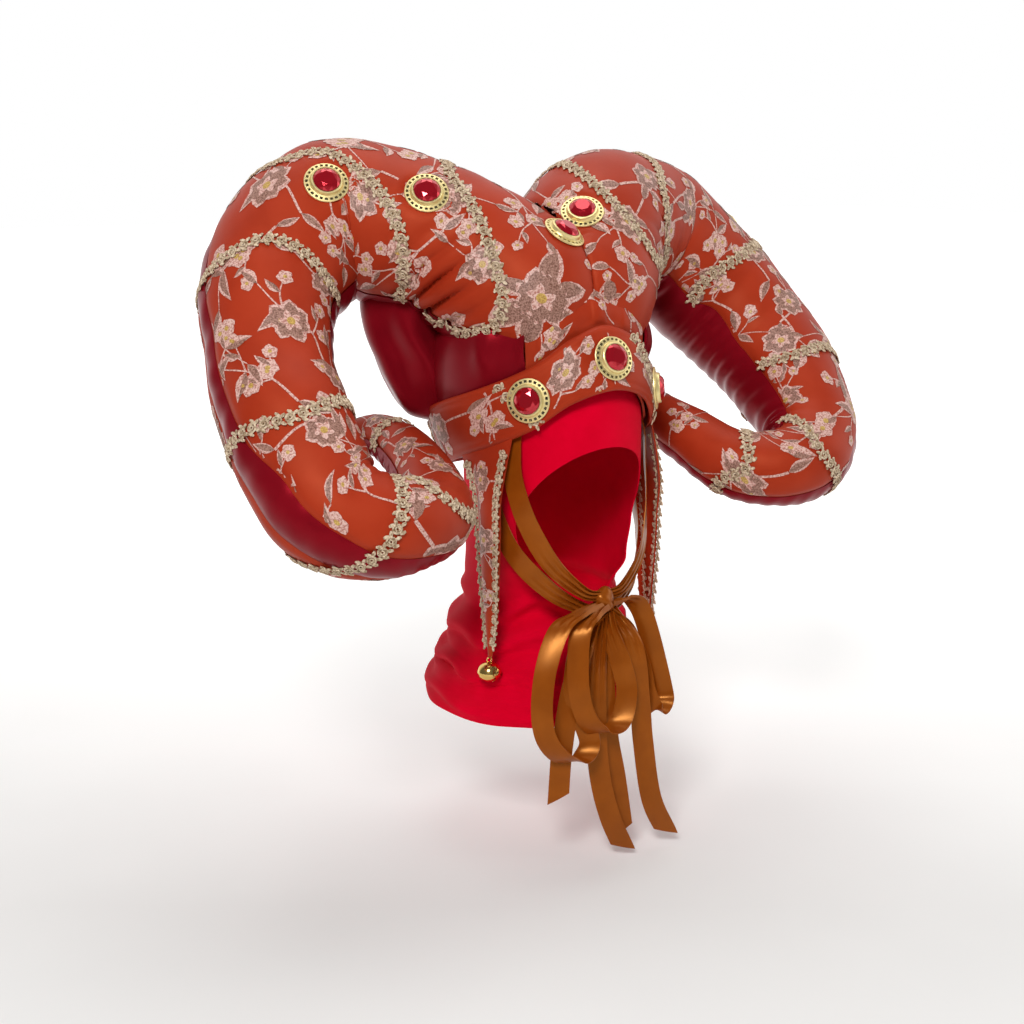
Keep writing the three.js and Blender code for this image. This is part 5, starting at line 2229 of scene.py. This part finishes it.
@dataclass
class Stage:
    """The pale floor, the soft lights and the camera."""

    floor_mm: float = -500.0
    camera_at: Triple = (-0.8090, -1.2378, 0.1803)
    right: Triple = (0.8499, -0.5270, 0.0)
    up: Triple = (0.1232, 0.1987, 0.9723)
    back: Triple = (-0.5124, -0.8263, 0.2338)
    lens_mm: float = 53.57
    sensor_mm: float = 36.0
    floor_half: float = 12.0
    away: Triple = (0.527, 0.85, 0.0)
    aim: Triple = (0.0, 0.0, -0.1)

    def camera(self) -> None:
        """Sets up the camera."""
        lens = bpy.data.cameras.new("camera")
        lens.lens = self.lens_mm
        lens.sensor_width = self.sensor_mm
        holder = bpy.data.objects.new("camera", lens)
        turn = Matrix((self.right, self.up, self.back)).transposed().to_4x4()
        holder.matrix_world = Matrix.Translation(self.camera_at) @ turn
        bpy.context.collection.objects.link(holder)
        bpy.context.scene.camera = holder

    def floor(self) -> None:
        """Lays the pale floor, which brightens towards the far end of the room."""
        work = bmesh.new()
        bmesh.ops.create_grid(work, x_segments=1, y_segments=1, size=self.floor_half)
        bmesh.ops.translate(work, verts=work.verts, vec=(0.0, 0.0, self.floor_mm * UNIT))
        mesh = bpy.data.meshes.new("floor")
        work.to_mesh(mesh)
        work.free()
        floor = bpy.data.objects.new("floor", mesh)
        pale = FLOOR_PAINT.material()
        tree, shader = pale.node_tree, pale.node_tree.nodes["Principled BSDF"]
        place = add_node(tree, "ShaderNodeTexCoord").outputs["Object"]
        glow = ramp(tree, place, self.away, From_Min=-0.2, From_Max=1.6, To_Max=0.9)
        feed(tree, shader, Emission_Strength=glow, Emission_Color=srgb(WHITE))
        mesh.materials.append(pale)
        bpy.context.collection.objects.link(floor)

    def lights(self) -> None:
        """Sets up a bright room and three soft lights."""
        world = bpy.data.worlds.new("studio")
        world.use_nodes = True
        tree = world.node_tree
        way = add_node(tree, "ShaderNodeTexCoord").outputs["Generated"]
        bright = ramp(tree, way, self.away, From_Min=0.1, From_Max=0.5, To_Min=0.14, To_Max=1.0)
        feed(tree, tree.nodes["Background"], Color=srgb(WHITE), Strength=bright)
        bpy.context.scene.world = world
        bpy.context.scene.view_settings.view_transform = "Standard"
        for name, at, size, power in LAMPS:
            lamp = bpy.data.lights.new(name, "AREA")
            lamp.size = size
            lamp.energy = power
            holder = bpy.data.objects.new(name, lamp)
            holder.location = at
            holder.rotation_euler = (Vector(at) - Vector(self.aim)).to_track_quat("Z", "Y").to_euler()
            bpy.context.collection.objects.link(holder)

    def build(self) -> None:
        """Builds the stage."""
        self.camera()
        self.floor()
        self.lights()


def main() -> None:
    """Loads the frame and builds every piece."""
    logging.basicConfig(level=logging.INFO, format="%(message)s")
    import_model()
    looks = Looks.make()
    lace = Lace()
    Stage().build()
    horns = [Horn(side, looks, lace) for side in Side]
    cap = Cap(looks, lace)
    seats = [seat for horn in horns for seat in horn.seats]
    seats += [cap.band_seat(name, angle) for name, angle in BAND_JEWELS]
    for horn, other in zip(horns, reversed(horns)):
        horn.beside = tuple(other.seats)
    for horn in horns:
        horn.build()
    cap.build()
    for side in Side:
        EarFlap(side, looks, lace, cap).build()
    Ties(looks).build()
    Hood(looks).build()
    for seat in seats:
        Jewel(seat, looks).build()


if __name__ == "__main__":
    main()
